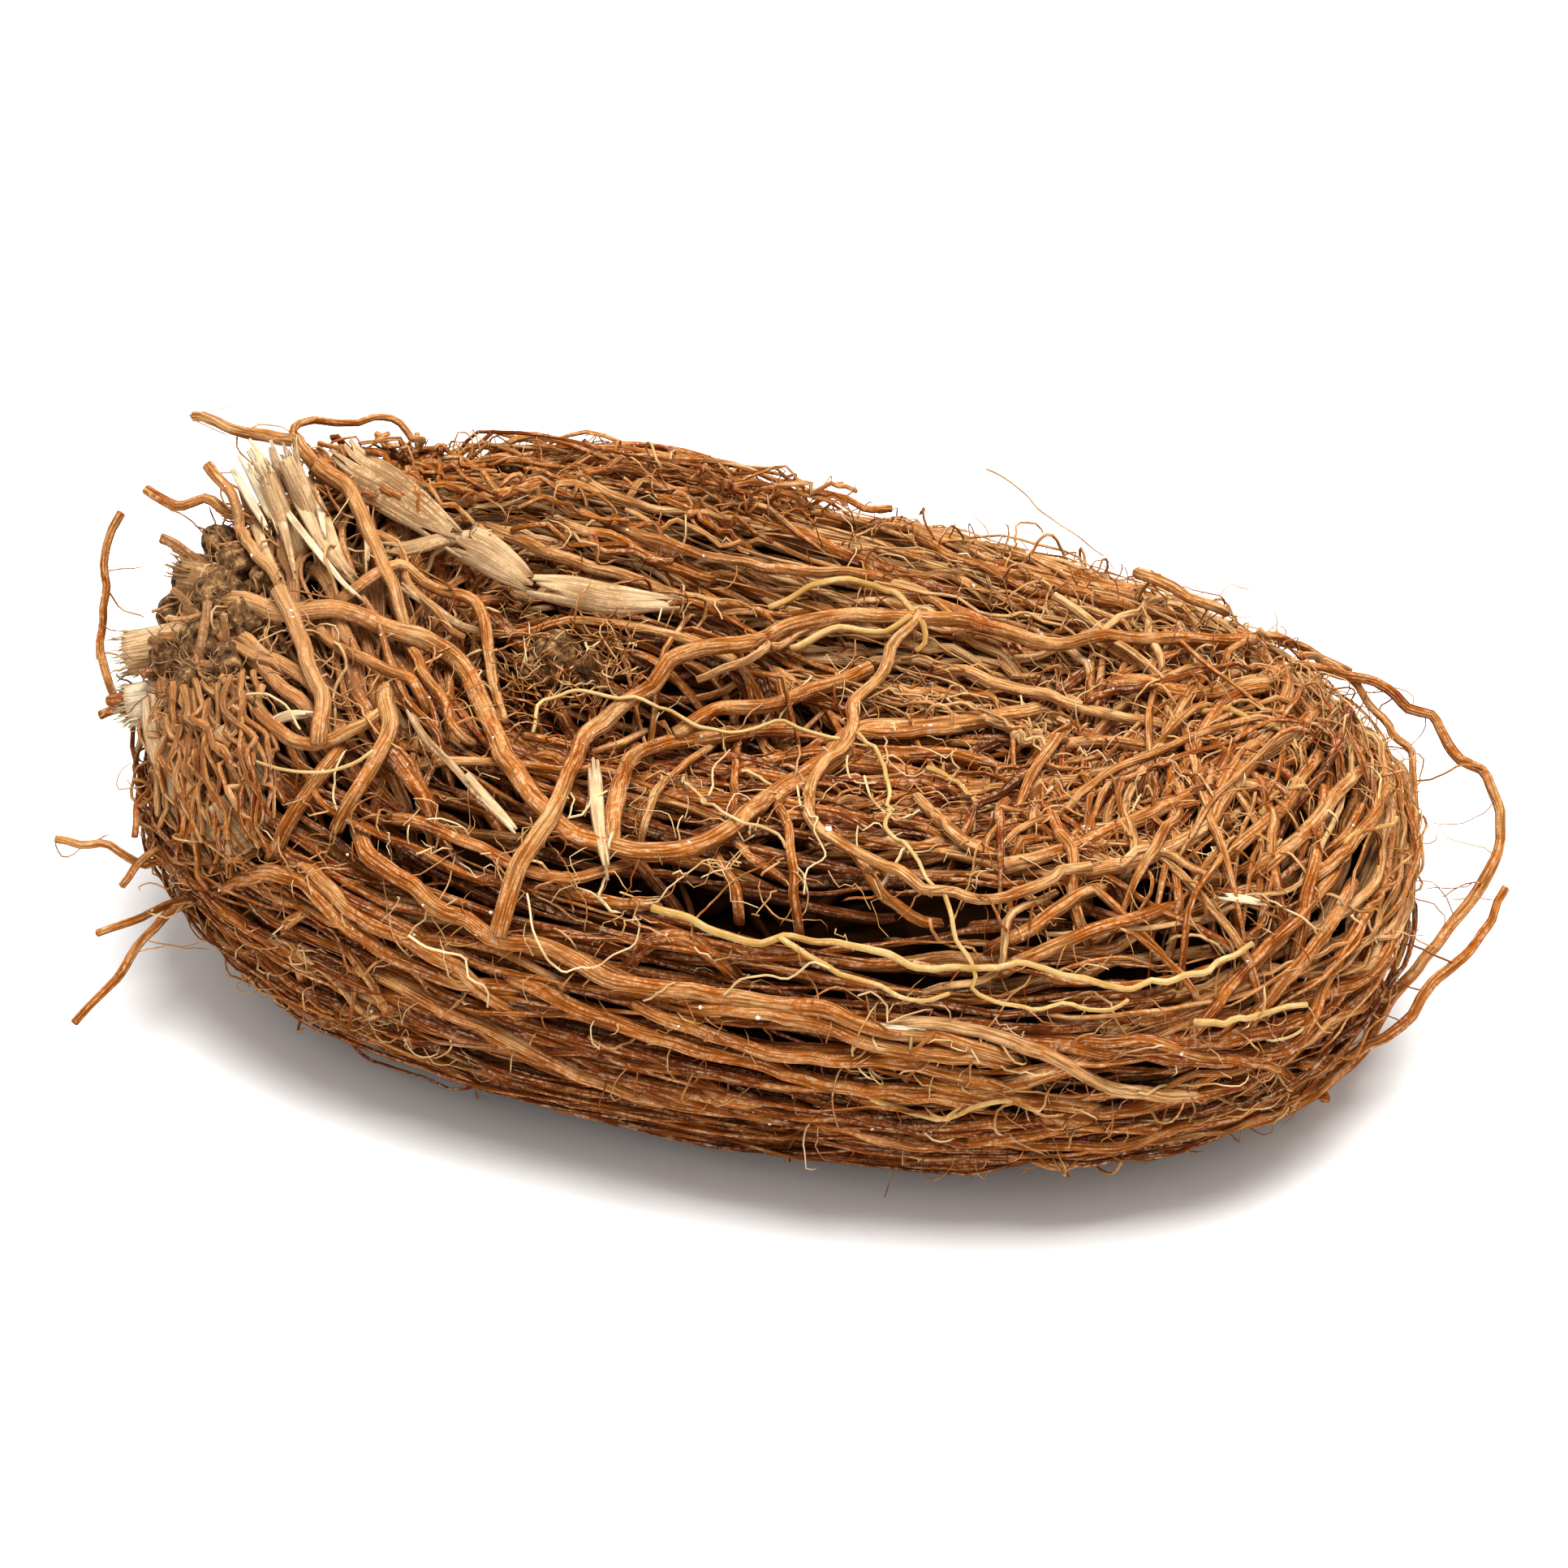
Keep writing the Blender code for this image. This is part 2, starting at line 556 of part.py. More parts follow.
# The rootstock: core, crown and roots grown together
rootstock = make_core("rootstock", part)
draw = random.Random(SEED)
for index in range(LONG_ROOTS):
    way = 1 if index % 2 else -1
    start = CROWN_ANGLE + draw.uniform(-CROWN_SPREAD, CROWN_SPREAD)
    route = hank_route(draw, start, way, draw.uniform(*LONG_SPANS))
    size = draw.uniform(*LONG_SIZES)
    tube(f"long_root_{index}", route, tapered(route, size, size * 0.8), 0, fused)
for index in range(BROKEN_ROOTS):
    way = draw.choice((-1, 1))
    route = hank_route(draw, draw.uniform(0, math.tau), way, draw.uniform(*BROKEN_SPANS))
    size = draw.uniform(*BROKEN_SIZES)
    tube(f"broken_root_{index}", route, tapered(route, size, size * 0.85), 0, fused)
for index in range(BRIDGING_ROOTS):
    route = bridge_route(draw)
    size = draw.uniform(*BRIDGE_SIZES)
    tube(f"bridging_root_{index}", route, tapered(route, size, size), 0, fused)
for index, (start_size, end_size, lift, places) in enumerate(LAID_ROOTS + STRAY_ROOTS):
    route = smooth_route(laid_points(places, lift), LAID_STEP)
    tube(f"laid_root_{index}", route, tapered(route, start_size, end_size), 0, fused)
for index, (across, down, radius, sink) in enumerate(CROWN_KNOTS):
    make_knot(f"crown_knot_{index}", across, down, radius, sink, fused)
combine(rootstock, "UNION", fused)

# Pieces of another colour, each with a slot cut for it
for name, start_size, end_size, lift, start, end in CULMS:
    made = make_culm(name, start_size, end_size, lift, start, end, 0, part)
    made.data.materials.append(culm_straw)
    make_culm(name + "_slot", start_size, end_size, lift, start, end, CLEARANCE, slots)
for name, width, curl, lift, places in SHEATHS:
    made = make_sheath(name, width, curl, lift, places, 0, part)
    made.data.materials.append(sheath_straw)
    make_sheath(name + "_slot", width, curl, lift, places, CLEARANCE, slots)
for name, start_size, end_size, lift, places in YOUNG_ROOTS:
    made = make_young_root(name, start_size, end_size, lift, places, 0, part)
    made.data.materials.append(young_skin)
    make_young_root(name + "_slot", start_size, end_size, lift, places, CLEARANCE, slots)
combine(rootstock, "DIFFERENCE", slots)
keep_largest_body(rootstock)
rootstock.data.materials.clear()
rootstock.data.materials.append(root_bark)

for made in part.objects:
    made.data.shade_smooth()
    made.data.set_sharp_from_angle(angle=math.radians(50))
for group in (fused, slots):
    bpy.data.collections.remove(group)
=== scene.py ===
"""The looks of a dried vetiver root: long roots folded round from the crown into an oval nest."""

import math

import bmesh
import bpy
import numpy as np
from mathutils import Matrix, Vector, noise


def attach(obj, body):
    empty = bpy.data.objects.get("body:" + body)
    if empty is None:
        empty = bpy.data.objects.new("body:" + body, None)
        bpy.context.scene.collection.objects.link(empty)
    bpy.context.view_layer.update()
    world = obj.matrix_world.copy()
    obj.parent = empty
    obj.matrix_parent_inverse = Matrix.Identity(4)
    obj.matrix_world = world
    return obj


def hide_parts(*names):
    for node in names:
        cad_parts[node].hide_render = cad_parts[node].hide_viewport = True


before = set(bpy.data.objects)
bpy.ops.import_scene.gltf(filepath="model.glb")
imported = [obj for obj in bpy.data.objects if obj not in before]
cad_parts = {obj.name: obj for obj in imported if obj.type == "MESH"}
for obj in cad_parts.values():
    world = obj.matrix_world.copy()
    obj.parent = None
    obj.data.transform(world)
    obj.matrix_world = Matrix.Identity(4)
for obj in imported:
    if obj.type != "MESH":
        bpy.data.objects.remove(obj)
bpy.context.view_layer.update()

# Camera
# Looks at the nest from its front, a little from the right and well from above. Routes further down are
# drawn on the square that it sees: millimetres across from the left edge, and down from the top.
MM = 0.001
VIEW_AZIMUTH = math.radians(13)
VIEW_ELEVATION = math.radians(38)
EYE_DISTANCE = 1000 * MM
DRAWING_SIDE = 193.2 * MM
DRAWING_MIDDLE_ACROSS = 1.1 * MM
DRAWING_MIDDLE_UP = 3.4 * MM
STRAND_MIDDLE = 24.5 * MM
SENSOR_WIDTH = 36

RIGHT = np.array([math.cos(VIEW_AZIMUTH), math.sin(VIEW_AZIMUTH), 0])
TO_EYE = np.array(
    [
        math.sin(VIEW_AZIMUTH) * math.cos(VIEW_ELEVATION),
        -math.cos(VIEW_AZIMUTH) * math.cos(VIEW_ELEVATION),
        math.sin(VIEW_ELEVATION),
    ]
)
UPWARD = np.cross(TO_EYE, RIGHT)
DRAWING_MIDDLE = (
    np.array([0, 0, STRAND_MIDDLE]) + RIGHT * DRAWING_MIDDLE_ACROSS + UPWARD * DRAWING_MIDDLE_UP
)


def seen_points(across, down, nearer):
    """The points seen at those places on the drawing, so much nearer to the eye than its plane."""
    scale = 1 - nearer / EYE_DISTANCE
    right = (across * MM - DRAWING_SIDE / 2) * scale
    up = (DRAWING_SIDE / 2 - down * MM) * scale
    ways = right[..., None] * RIGHT + up[..., None] * UPWARD + nearer[..., None] * TO_EYE
    return DRAWING_MIDDLE + ways


def drawn_places(points):
    """Where points are seen on the drawing, and how near to the eye."""
    offset = points - DRAWING_MIDDLE
    nearer = offset @ TO_EYE
    scale = 1 - nearer / EYE_DISTANCE
    across = (offset @ RIGHT / scale + DRAWING_SIDE / 2) / MM
    down = (DRAWING_SIDE / 2 - offset @ UPWARD / scale) / MM
    return across, down, nearer


def add_object(name, data):
    """Puts new data into the scene as an object at the origin."""
    added = bpy.data.objects.new(name, data)
    bpy.context.scene.collection.objects.link(added)
    return added


camera_data = bpy.data.cameras.new("camera")
camera_data.sensor_width = SENSOR_WIDTH
camera_data.lens = SENSOR_WIDTH * EYE_DISTANCE / DRAWING_SIDE
camera = add_object("camera", camera_data)
camera.matrix_world = (
    Matrix.Translation(Vector(DRAWING_MIDDLE + TO_EYE * EYE_DISTANCE))
    @ Matrix((RIGHT, UPWARD, TO_EYE)).transposed().to_4x4()
)
bpy.context.scene.camera = camera

# Floor and light
# A sheet of matt white paper under one large soft lamp straight above, in a bright white room.
FLOOR_SIDE = 4.0
PAPER_WHITE = "F7F6F4"
ROOM_STRENGTH = 0.72
LAMP_PLACE = Vector((0.1, 0.04, 1.1))
LAMP_SIDE = 0.7
LAMP_WATTS = 22


def linear(colour):
    """A sRGB hex colour as linear red, green, blue and alpha."""
    shares = [int(colour[start : start + 2], 16) / 255 for start in (0, 2, 4)]
    return (*[s / 12.92 if s <= 0.04045 else ((s + 0.055) / 1.055) ** 2.4 for s in shares], 1)


def add_node(tree, kind, settings, links):
    """Adds a node with its settings: names are properties, inputs' names or numbers are sockets."""
    node = tree.nodes.new(kind)
    for name, value in settings.items():
        if isinstance(name, int) or name in node.inputs:
            node.inputs[name].default_value = value
        else:
            setattr(node, name, value)
    for socket, source in links.items():
        tree.links.new(source, node.inputs[socket])
    return node


def new_material(name, roughness, specular):
    """An empty material, its node tree, and the matt shader that its nodes feed."""
    made = bpy.data.materials.new(name)
    made.use_nodes = True
    shader = made.node_tree.nodes["Principled BSDF"]
    shader.inputs["Roughness"].default_value = roughness
    shader.inputs["Specular IOR Level"].default_value = specular
    return made, made.node_tree, shader


def mesh_from(cage, name):
    """The mesh of a finished cage."""
    mesh = bpy.data.meshes.new(name)
    cage.to_mesh(mesh)
    cage.free()
    return mesh


paper, tree, shader = new_material("matt_white_paper", 0.95, 0.1)
shader.inputs["Base Color"].default_value = linear(PAPER_WHITE)

cage = bmesh.new()
bmesh.ops.create_grid(cage, x_segments=1, y_segments=1, size=FLOOR_SIDE / 2)
floor = add_object("floor", mesh_from(cage, "floor"))
floor.data.materials.append(paper)

lamp_data = bpy.data.lights.new("soft_lamp", "AREA")
lamp_data.size = LAMP_SIDE
lamp_data.energy = LAMP_WATTS
lamp = add_object("soft_lamp", lamp_data)
lamp.location = LAMP_PLACE
lamp.rotation_euler = LAMP_PLACE.to_track_quat("Z", "Y").to_euler()

room = bpy.data.worlds.new("white_room")
room.use_nodes = True
room.node_tree.nodes["Background"].inputs["Color"].default_value = (1, 1, 1, 1)
room.node_tree.nodes["Background"].inputs["Strength"].default_value = ROOM_STRENGTH
bpy.context.scene.world = room
bpy.context.scene.view_settings.view_transform = "Standard"

# Packed middle
# The inside of the nest is more of the same roots, so close that only shade shows between the outer ones.
# It is modelled as one dark body of the nest's own form, sunk below the roots that lie on it, and deeper
# under the open gaps. A gap is its middle across and down the drawing, and its reach across and down.
NEST_LENGTH = 156 * MM
NEST_DEPTH = 93 * MM
HOLLOW_LENGTH = 68 * MM
HOLLOW_DEPTH = 18 * MM
STRAND_HEIGHT = 45 * MM
HOLLOW_FLOOR = 35 * MM
BRIDGE_HEIGHT = 40 * MM
PLAN_SQUARENESS = 2.4
END_FULLNESS = 0.08
CROWN_ANGLE = 0.86 * math.pi
FAR_HEIGHT = 0.92
CROWN_RISE = 0.3
LOWEST_MIDDLE = 1.6 * MM
CORE_REACH = 0.9
PACKED_REACH = 0.8
PACKED_TURN = 0.75 * math.pi
PACKED_FLOOR = 24 * MM
FLOOR_START = 3.2
FLOOR_SLOPE = 1.05
PACKED_SEGMENTS = 64
PACKED_RINGS = 40
MOTTLE_SCALE = 400
DEEP_BROWN = "120702"
DEEP_RED_BROWN = "1D0D05"
GAPS = [(93, 109, 12, 6), (63.5, 88.5, 5, 3.5), (84, 101.5, 4, 2.5)]
DENT_SPREAD = 1.6
DENT_DEPTH = 14 * MM
NEAR_SIDE = 10 * MM
SIGHT_REACH = 75 * MM
SIGHT_STEP = 0.8 * MM
NOWHERE = -1.0


def mix(low, high, share):
    """A share of the way from low to high."""
    return low + (high - low) * share


def rise(around):
    """How much taller the strand stands towards the crown."""
    return FAR_HEIGHT + CROWN_RISE * (0.5 + 0.5 * np.cos(around - CROWN_ANGLE)) ** 4


def fullness(x):
    """How much deeper the nest is at x than a plain oval."""
    return 1 + END_FULLNESS * x / (NEST_LENGTH / 2)


def rounded(ratio):
    """A cosine or sine bent to the plan's squareness."""
    return np.copysign(np.abs(ratio) ** (2 / PLAN_SQUARENESS), ratio)


def nest_points(around, turn, reach):
    """Points of the strand: how far round the nest and round its section, and how far out of it."""
    outward = 0.5 + 0.5 * reach * np.cos(turn)
    height = (STRAND_MIDDLE + STRAND_HEIGHT / 2 * reach * np.sin(turn)) * rise(around)
    floor_height = HOLLOW_FLOOR + STRAND_HEIGHT / 2 * (reach - CORE_REACH)
    inside = (np.cos(turn) < 0) & (np.sin(turn) > 0)
    height = np.where(inside, np.maximum(height, floor_height), height)
    x = mix(HOLLOW_LENGTH, NEST_LENGTH, outward) / 2 * rounded(np.cos(around))
    y = mix(HOLLOW_DEPTH, NEST_DEPTH, outward) / 2 * rounded(np.sin(around)) * fullness(x)
    return np.stack([x, y, np.maximum(height, LOWEST_MIDDLE)], axis=-1)


def outward_shares(x, y):
    """0 on the hollow's edge, 1 on the nest's outline, below 0 inside the hollow."""
    y = y / fullness(x)
    low = np.full(np.shape(x), -1.0)
    high = np.full(np.shape(x), 2.0)
    for _ in range(20):
        middle = (low + high) / 2
        across = np.abs(2 * x / np.maximum(mix(HOLLOW_LENGTH, NEST_LENGTH, middle), MM))
        along = np.abs(2 * y / np.maximum(mix(HOLLOW_DEPTH, NEST_DEPTH, middle), MM))
        outside = across**PLAN_SQUARENESS + along**PLAN_SQUARENESS > 1
        low = np.where(outside, middle, low)
        high = np.where(outside, high, middle)
    return (low + high) / 2


def nest_angle(x, y):
    """How far round the nest a place is."""
    return np.arctan2(y / (NEST_DEPTH * fullness(x)), x / NEST_LENGTH)


def section_place(places):
    """Where places lie in the strand's section: outward share, height share above its middle, and rise."""
    x, y, z = places[..., 0], places[..., 1], places[..., 2]
    taller = rise(nest_angle(x, y))
    return outward_shares(x, y), (z / taller - STRAND_MIDDLE) / (STRAND_HEIGHT / 2), taller


def standing_out(places):
    """About how far places stand out of the nest's surface: negative inside it, and over its bridge."""
    outward, up, taller = section_place(places)
    out = (np.hypot(2 * outward - 1, up) - 1) * STRAND_HEIGHT / 2
    over_bridge = places[..., 2] / taller - BRIDGE_HEIGHT
    return np.where(outward < 0.5, np.minimum(out, over_bridge), out)


def nearness_of_nest(across, down):
    """How near to the eye the nest's surface is at places on the drawing, or nowhere."""
    depths = np.arange(SIGHT_REACH, -SIGHT_REACH, -SIGHT_STEP)
    nearer = np.broadcast_to(depths, (len(across), len(depths)))
    inside = standing_out(seen_points(across[:, None], down[:, None], nearer)) < 0
    first = depths[np.argmax(inside, axis=1)]
    outer = first + SIGHT_STEP
    for _ in range(5):
        middle = (first + outer) / 2
        within = standing_out(seen_points(across, down, middle)) < 0
        first = np.where(within, middle, first)
        outer = np.where(within, outer, middle)
    return np.where(inside.any(axis=1), first, NOWHERE)


def distances_from(gap, across, down):
    """How far places on the drawing are from a gap's middle: 1 on its edge."""
    middle_across, middle_down, reach_across, reach_down = gap
    return np.hypot((across - middle_across) / reach_across, (down - middle_down) / reach_down)


def dented(place):
    """The place pushed away from the eye where the roots above it leave a dark gap."""
    across, down, nearer = drawn_places(np.array([place]))
    sunk = max(1 - distances_from(gap, across, down)[0] / DENT_SPREAD for gap in GAPS)
    if sunk > 0 and (nearness_of_nest(across, down) - nearer)[0] < NEAR_SIDE:
        return Vector(np.array(place) - TO_EYE * DENT_DEPTH * sunk)
    return place


def finish_piece(name, mesh, material, nodes=()):
    """Links a finished mesh as a piece of the object, which stands for those CAD nodes."""
    mesh.materials.clear()
    mesh.materials.append(material)
    mesh.shade_smooth()
    piece = add_object(name, mesh)
    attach(piece, "root")
    if nodes:
        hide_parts(*nodes)
    return piece


def set_stops(ramp, stops):
    """Gives a colour ramp its colours, each with its place."""
    elements = ramp.color_ramp.elements
    while len(elements) < len(stops):
        elements.new(0.5)
    for index, (colour, position) in enumerate(stops):
        elements[index].position = position
        elements[index].color = linear(colour)


def mottled_material(name, roughness, specular, grain, stops):
    """A material of a few colours in soft patches: with it, its tree, its shader and the patches' node."""
    made, tree, shader = new_material(name, roughness, specular)
    coordinates = add_node(tree, "ShaderNodeTexCoord", {}, {})
    patches = add_node(tree, "ShaderNodeTexNoise", grain, {"Vector": coordinates.outputs["Object"]})
    ramp = add_node(tree, "ShaderNodeValToRGB", {}, {"Fac": patches.outputs["Fac"]})
    set_stops(ramp, stops)
    tree.links.new(ramp.outputs["Color"], shader.inputs["Base Color"])
    return made, tree, shader, patches


shade_bark = mottled_material(
    "shaded_inner_bark",
    0.95,
    0,
    {"Scale": MOTTLE_SCALE, "Detail": 3},
    [(DEEP_BROWN, 0.4), (DEEP_RED_BROWN, 0.7)],
)[0]

cage = bmesh.new()
bmesh.ops.create_uvsphere(cage, u_segments=PACKED_SEGMENTS, v_segments=PACKED_RINGS, radius=1)
for vertex in cage.verts:
    polar = math.acos(max(-1, min(1, -vertex.co.z))) / math.pi
    around = math.atan2(vertex.co.y, vertex.co.x)
    turn = mix(-PACKED_TURN, PACKED_TURN, polar)
    if vertex.co.xy.length < MM:
        vertex.co = Vector((0, 0, LOWEST_MIDDLE if polar < 0.5 else PACKED_FLOOR))
    else:
        place = Vector(nest_points(around, turn, PACKED_REACH))
        if turn > 0:
            share = min(1, max(0, FLOOR_START - turn * FLOOR_SLOPE))
            place.z = min(place.z, mix(PACKED_FLOOR, place.z, share))
        vertex.co = dented(place)
bmesh.ops.recalc_face_normals(cage, faces=cage.faces)
finish_piece("packed_middle", mesh_from(cage, "packed_middle"), shade_bark)

# Main roots
# Dried roots 1 to 3 mm thick run round the nest from the crown, woven over and under each other.
# Their bark is matt and shrunk into grooves, orange-brown on most, tan, red-brown or straw on others.
BARK_DARK = "53240B"
BARK_RED = "863E10"
BARK_ORANGE = "AE601C"
BARK_TAN = "C4864A"
BARK_STRAW = "D9A66C"
# Painted shade in the bark's grooves.
GROOVE_SHADE_BROWN = "4C220A"
# Cream of bark rubbed off the ridges: partly real wear, partly a painted highlight.
RUBBED_AND_HIGHLIGHT_CREAM = "DFB98E"
CROWN_TAN = "BC8F5F"
SHADED_BROWN = "361707"
PATCH_SCALE = 0.16
PATCH_SPREAD = 1.3
STREAK_SCALE = 3.6
STREAK_LENGTHENING = 0.06
FLAKE_SCALE = 1.5
MOST_RUBBED_AND_HIGHLIT = 0.75
MOST_GREYED = 0.5
# Bark deeper than SHADED_FROM below the nest's surface turns towards SHADED_BROWN over SHADED_DEPTH:
# painted shade between the roots.
SHADED_FROM = 1.3 * MM
SHADED_DEPTH = 5.5 * MM
CROWN_PLACE = np.array([[31], [76]])
CROWN_REACH = 18 * MM
CROWN_FADE = 1.4
SWELLING = 0.1
SWELL_SPACING = 6 * MM
TIP_SIZE = 0.25
TIP_LENGTH = 12 * MM
CUT_ROUNDING = 0.15
GRAIN_OFFSETS = 300
WELD_DISTANCE = 0.0005 * MM
TRIANGLE = "triangle"


def soft_noise(draw, count, step, spacing, columns):
    """A smooth random walk in -1..1 with a new value every spacing, read at count places a step apart."""
    knots = draw.uniform(-1, 1, (int(count * step / spacing) + 3, columns))
    place = np.arange(count) * step / spacing + draw.uniform(0, 1)
    index = place.astype(int)
    share = place - index
    share = (share * share * (3 - 2 * share))[:, None]
    return knots[index] * (1 - share) + knots[index + 1] * share


def wavered(draw, route, step, waves):
    """The route bent a little to and fro, as dried roots are: the size and spacing of each wave."""
    moved = route.copy()
    for size, spacing in waves:
        moved += soft_noise(draw, len(route), step, spacing, 3) * size
    return moved


def end_shares(share, parts):
    """1 at both ends of a route, falling to 0 within one of so many parts of it."""
    return np.maximum(0, 1 - parts * np.minimum(share, 1 - share))


def thickness(draw, count, step, start, end, blunt):
    """Radii along a root that closes at both ends, drawn out to a point where it isn't blunt."""
    radii = np.linspace(start, end, count) / 2
    radii *= 1 + SWELLING * soft_noise(draw, count, step, SWELL_SPACING, 1)[:, 0]
    if not blunt:
        radii *= np.minimum(1, TIP_SIZE + np.arange(count)[::-1] * step / TIP_LENGTH)
    radii[[0, -1]] = 0
    return radii


def blunted(route, radii):
    """Adds the closing points just beyond both cut ends."""
    first = route[0] + (route[0] - route[1]) * CUT_ROUNDING
    last = route[-1] + (route[-1] - route[-2]) * CUT_ROUNDING
    opened = radii.copy()
    opened[0] = radii[1]
    opened[-1] = radii[-2]
    return np.vstack([first, route, last]), np.concatenate([[0], opened, [0]])


triangle = bpy.data.curves.new("triangle", "CURVE")
triangle.dimensions = "2D"
triangle_spline = triangle.splines.new("POLY")
triangle_spline.points.add(2)
triangle_spline.use_cyclic_u = True
for corner, point in enumerate(triangle_spline.points):
    point.co = (math.cos(corner * math.tau / 3), -math.sin(corner * math.tau / 3), 0, 1)
triangle_guide = add_object("triangle_guide", triangle)


def keep_values(mesh, name, kind, values):
    """Keeps a number or a vector for each of the mesh's points."""
    field = "vector" if kind == "FLOAT_VECTOR" else "value"
    mesh.attributes.new(name, kind, "POINT").data.foreach_set(field, values)


def root_tubes(draw, name, roots, round_steps, ridge):
    """One mesh of many roots, each a tube with uneven sides that closes at both ends.

    A root is its route, radii and shade. Its points keep four attributes: where the point is round and
    along the root, in millimetres, the root's shade from dark to straw, how near the crown the point is,
    and how deep in the nest, which the bark darkens as painted shade.
    """
    curve = bpy.data.curves.new(name, "CURVE")
    curve.dimensions = "3D"
    if round_steps == TRIANGLE:
        curve.bevel_mode = "OBJECT"
        curve.bevel_object = triangle_guide
    else:
        curve.bevel_depth = 1
        curve.bevel_resolution = round_steps
    for route, radii, shade in roots:
        spline = curve.splines.new("POLY")
        spline.points.add(len(route) - 1)
        spline.points.foreach_set("co", np.column_stack([route, np.ones(len(route))]).ravel())
        spline.points.foreach_set("radius", radii)
    guide = add_object(name + "_guide", curve)
    bpy.context.view_layer.update()
    mesh = bpy.data.meshes.new_from_object(guide.evaluated_get(bpy.context.evaluated_depsgraph_get()))
    bpy.data.objects.remove(guide)

    middles = np.concatenate([route for route, radii, shade in roots])
    counts = np.array([len(route) for route, radii, shade in roots])
    owner = np.repeat(np.arange(len(roots)), counts)
    sides = len(mesh.vertices) // len(middles)
    places = np.empty(len(mesh.vertices) * 3)
    mesh.vertices.foreach_get("co", places)
    places = places.reshape(len(middles), sides, 3)
    uneven = draw.uniform(-1, 1, (len(roots), sides))
    places = middles[:, None] + (places - middles[:, None]) * (1 + ridge * uneven[owner])[..., None]
    mesh.vertices.foreach_set("co", places.ravel())

    steps = np.linalg.norm(np.diff(middles, axis=0, prepend=middles[:1]), axis=1)
    starts = np.cumsum(counts) - counts
    steps[starts] = 0
    along = np.cumsum(steps)
    along -= np.repeat(along[starts], counts)
    width = np.concatenate([radii for route, radii, shade in roots])
    angle = np.arange(sides) * math.tau / sides
    grain = np.empty((len(middles), sides, 3))
    grain[..., 0] = np.cos(angle) * width[:, None] / MM
    grain[..., 1] = np.sin(angle) * width[:, None] / MM
    grain[..., 2] = (along / MM)[:, None]
    grain += draw.uniform(0, GRAIN_OFFSETS, (len(roots), 3))[owner][:, None]
    shades = np.array([shade for route, radii, shade in roots])
    crown = seen_points(*CROWN_PLACE, nearness_of_nest(*CROWN_PLACE))
    near = np.clip(CROWN_FADE - np.linalg.norm(middles - crown, axis=1) / CROWN_REACH, 0, 1)
    # Painted shade: how far each point lies below the nest's surface.
    depth = np.clip((-standing_out(places.reshape(-1, 3)) - SHADED_FROM) / SHADED_DEPTH, 0, 1)
    keep_values(mesh, "grain", "FLOAT_VECTOR", grain.ravel())
    keep_values(mesh, "shade", "FLOAT", np.repeat(shades[owner], sides))
    keep_values(mesh, "near_crown", "FLOAT", np.repeat(near, sides))
    keep_values(mesh, "depth", "FLOAT", depth)

    cage = bmesh.new()
    cage.from_mesh(mesh)
    cage.verts.ensure_lookup_table()
    rings = np.concatenate([starts, starts + counts - 1])
    ends = [cage.verts[int(ring) * sides + side] for ring in rings for side in range(sides)]
    bmesh.ops.remove_doubles(cage, verts=ends, dist=WELD_DISTANCE)
    cage.to_mesh(mesh)
    cage.free()
    return mesh


def root_piece(draw, name, roots, round_steps, ridge, material, nodes=()):
    """Makes many roots one piece of the object."""
    finish_piece(name, root_tubes(draw, name, roots, round_steps, ridge), material, nodes)


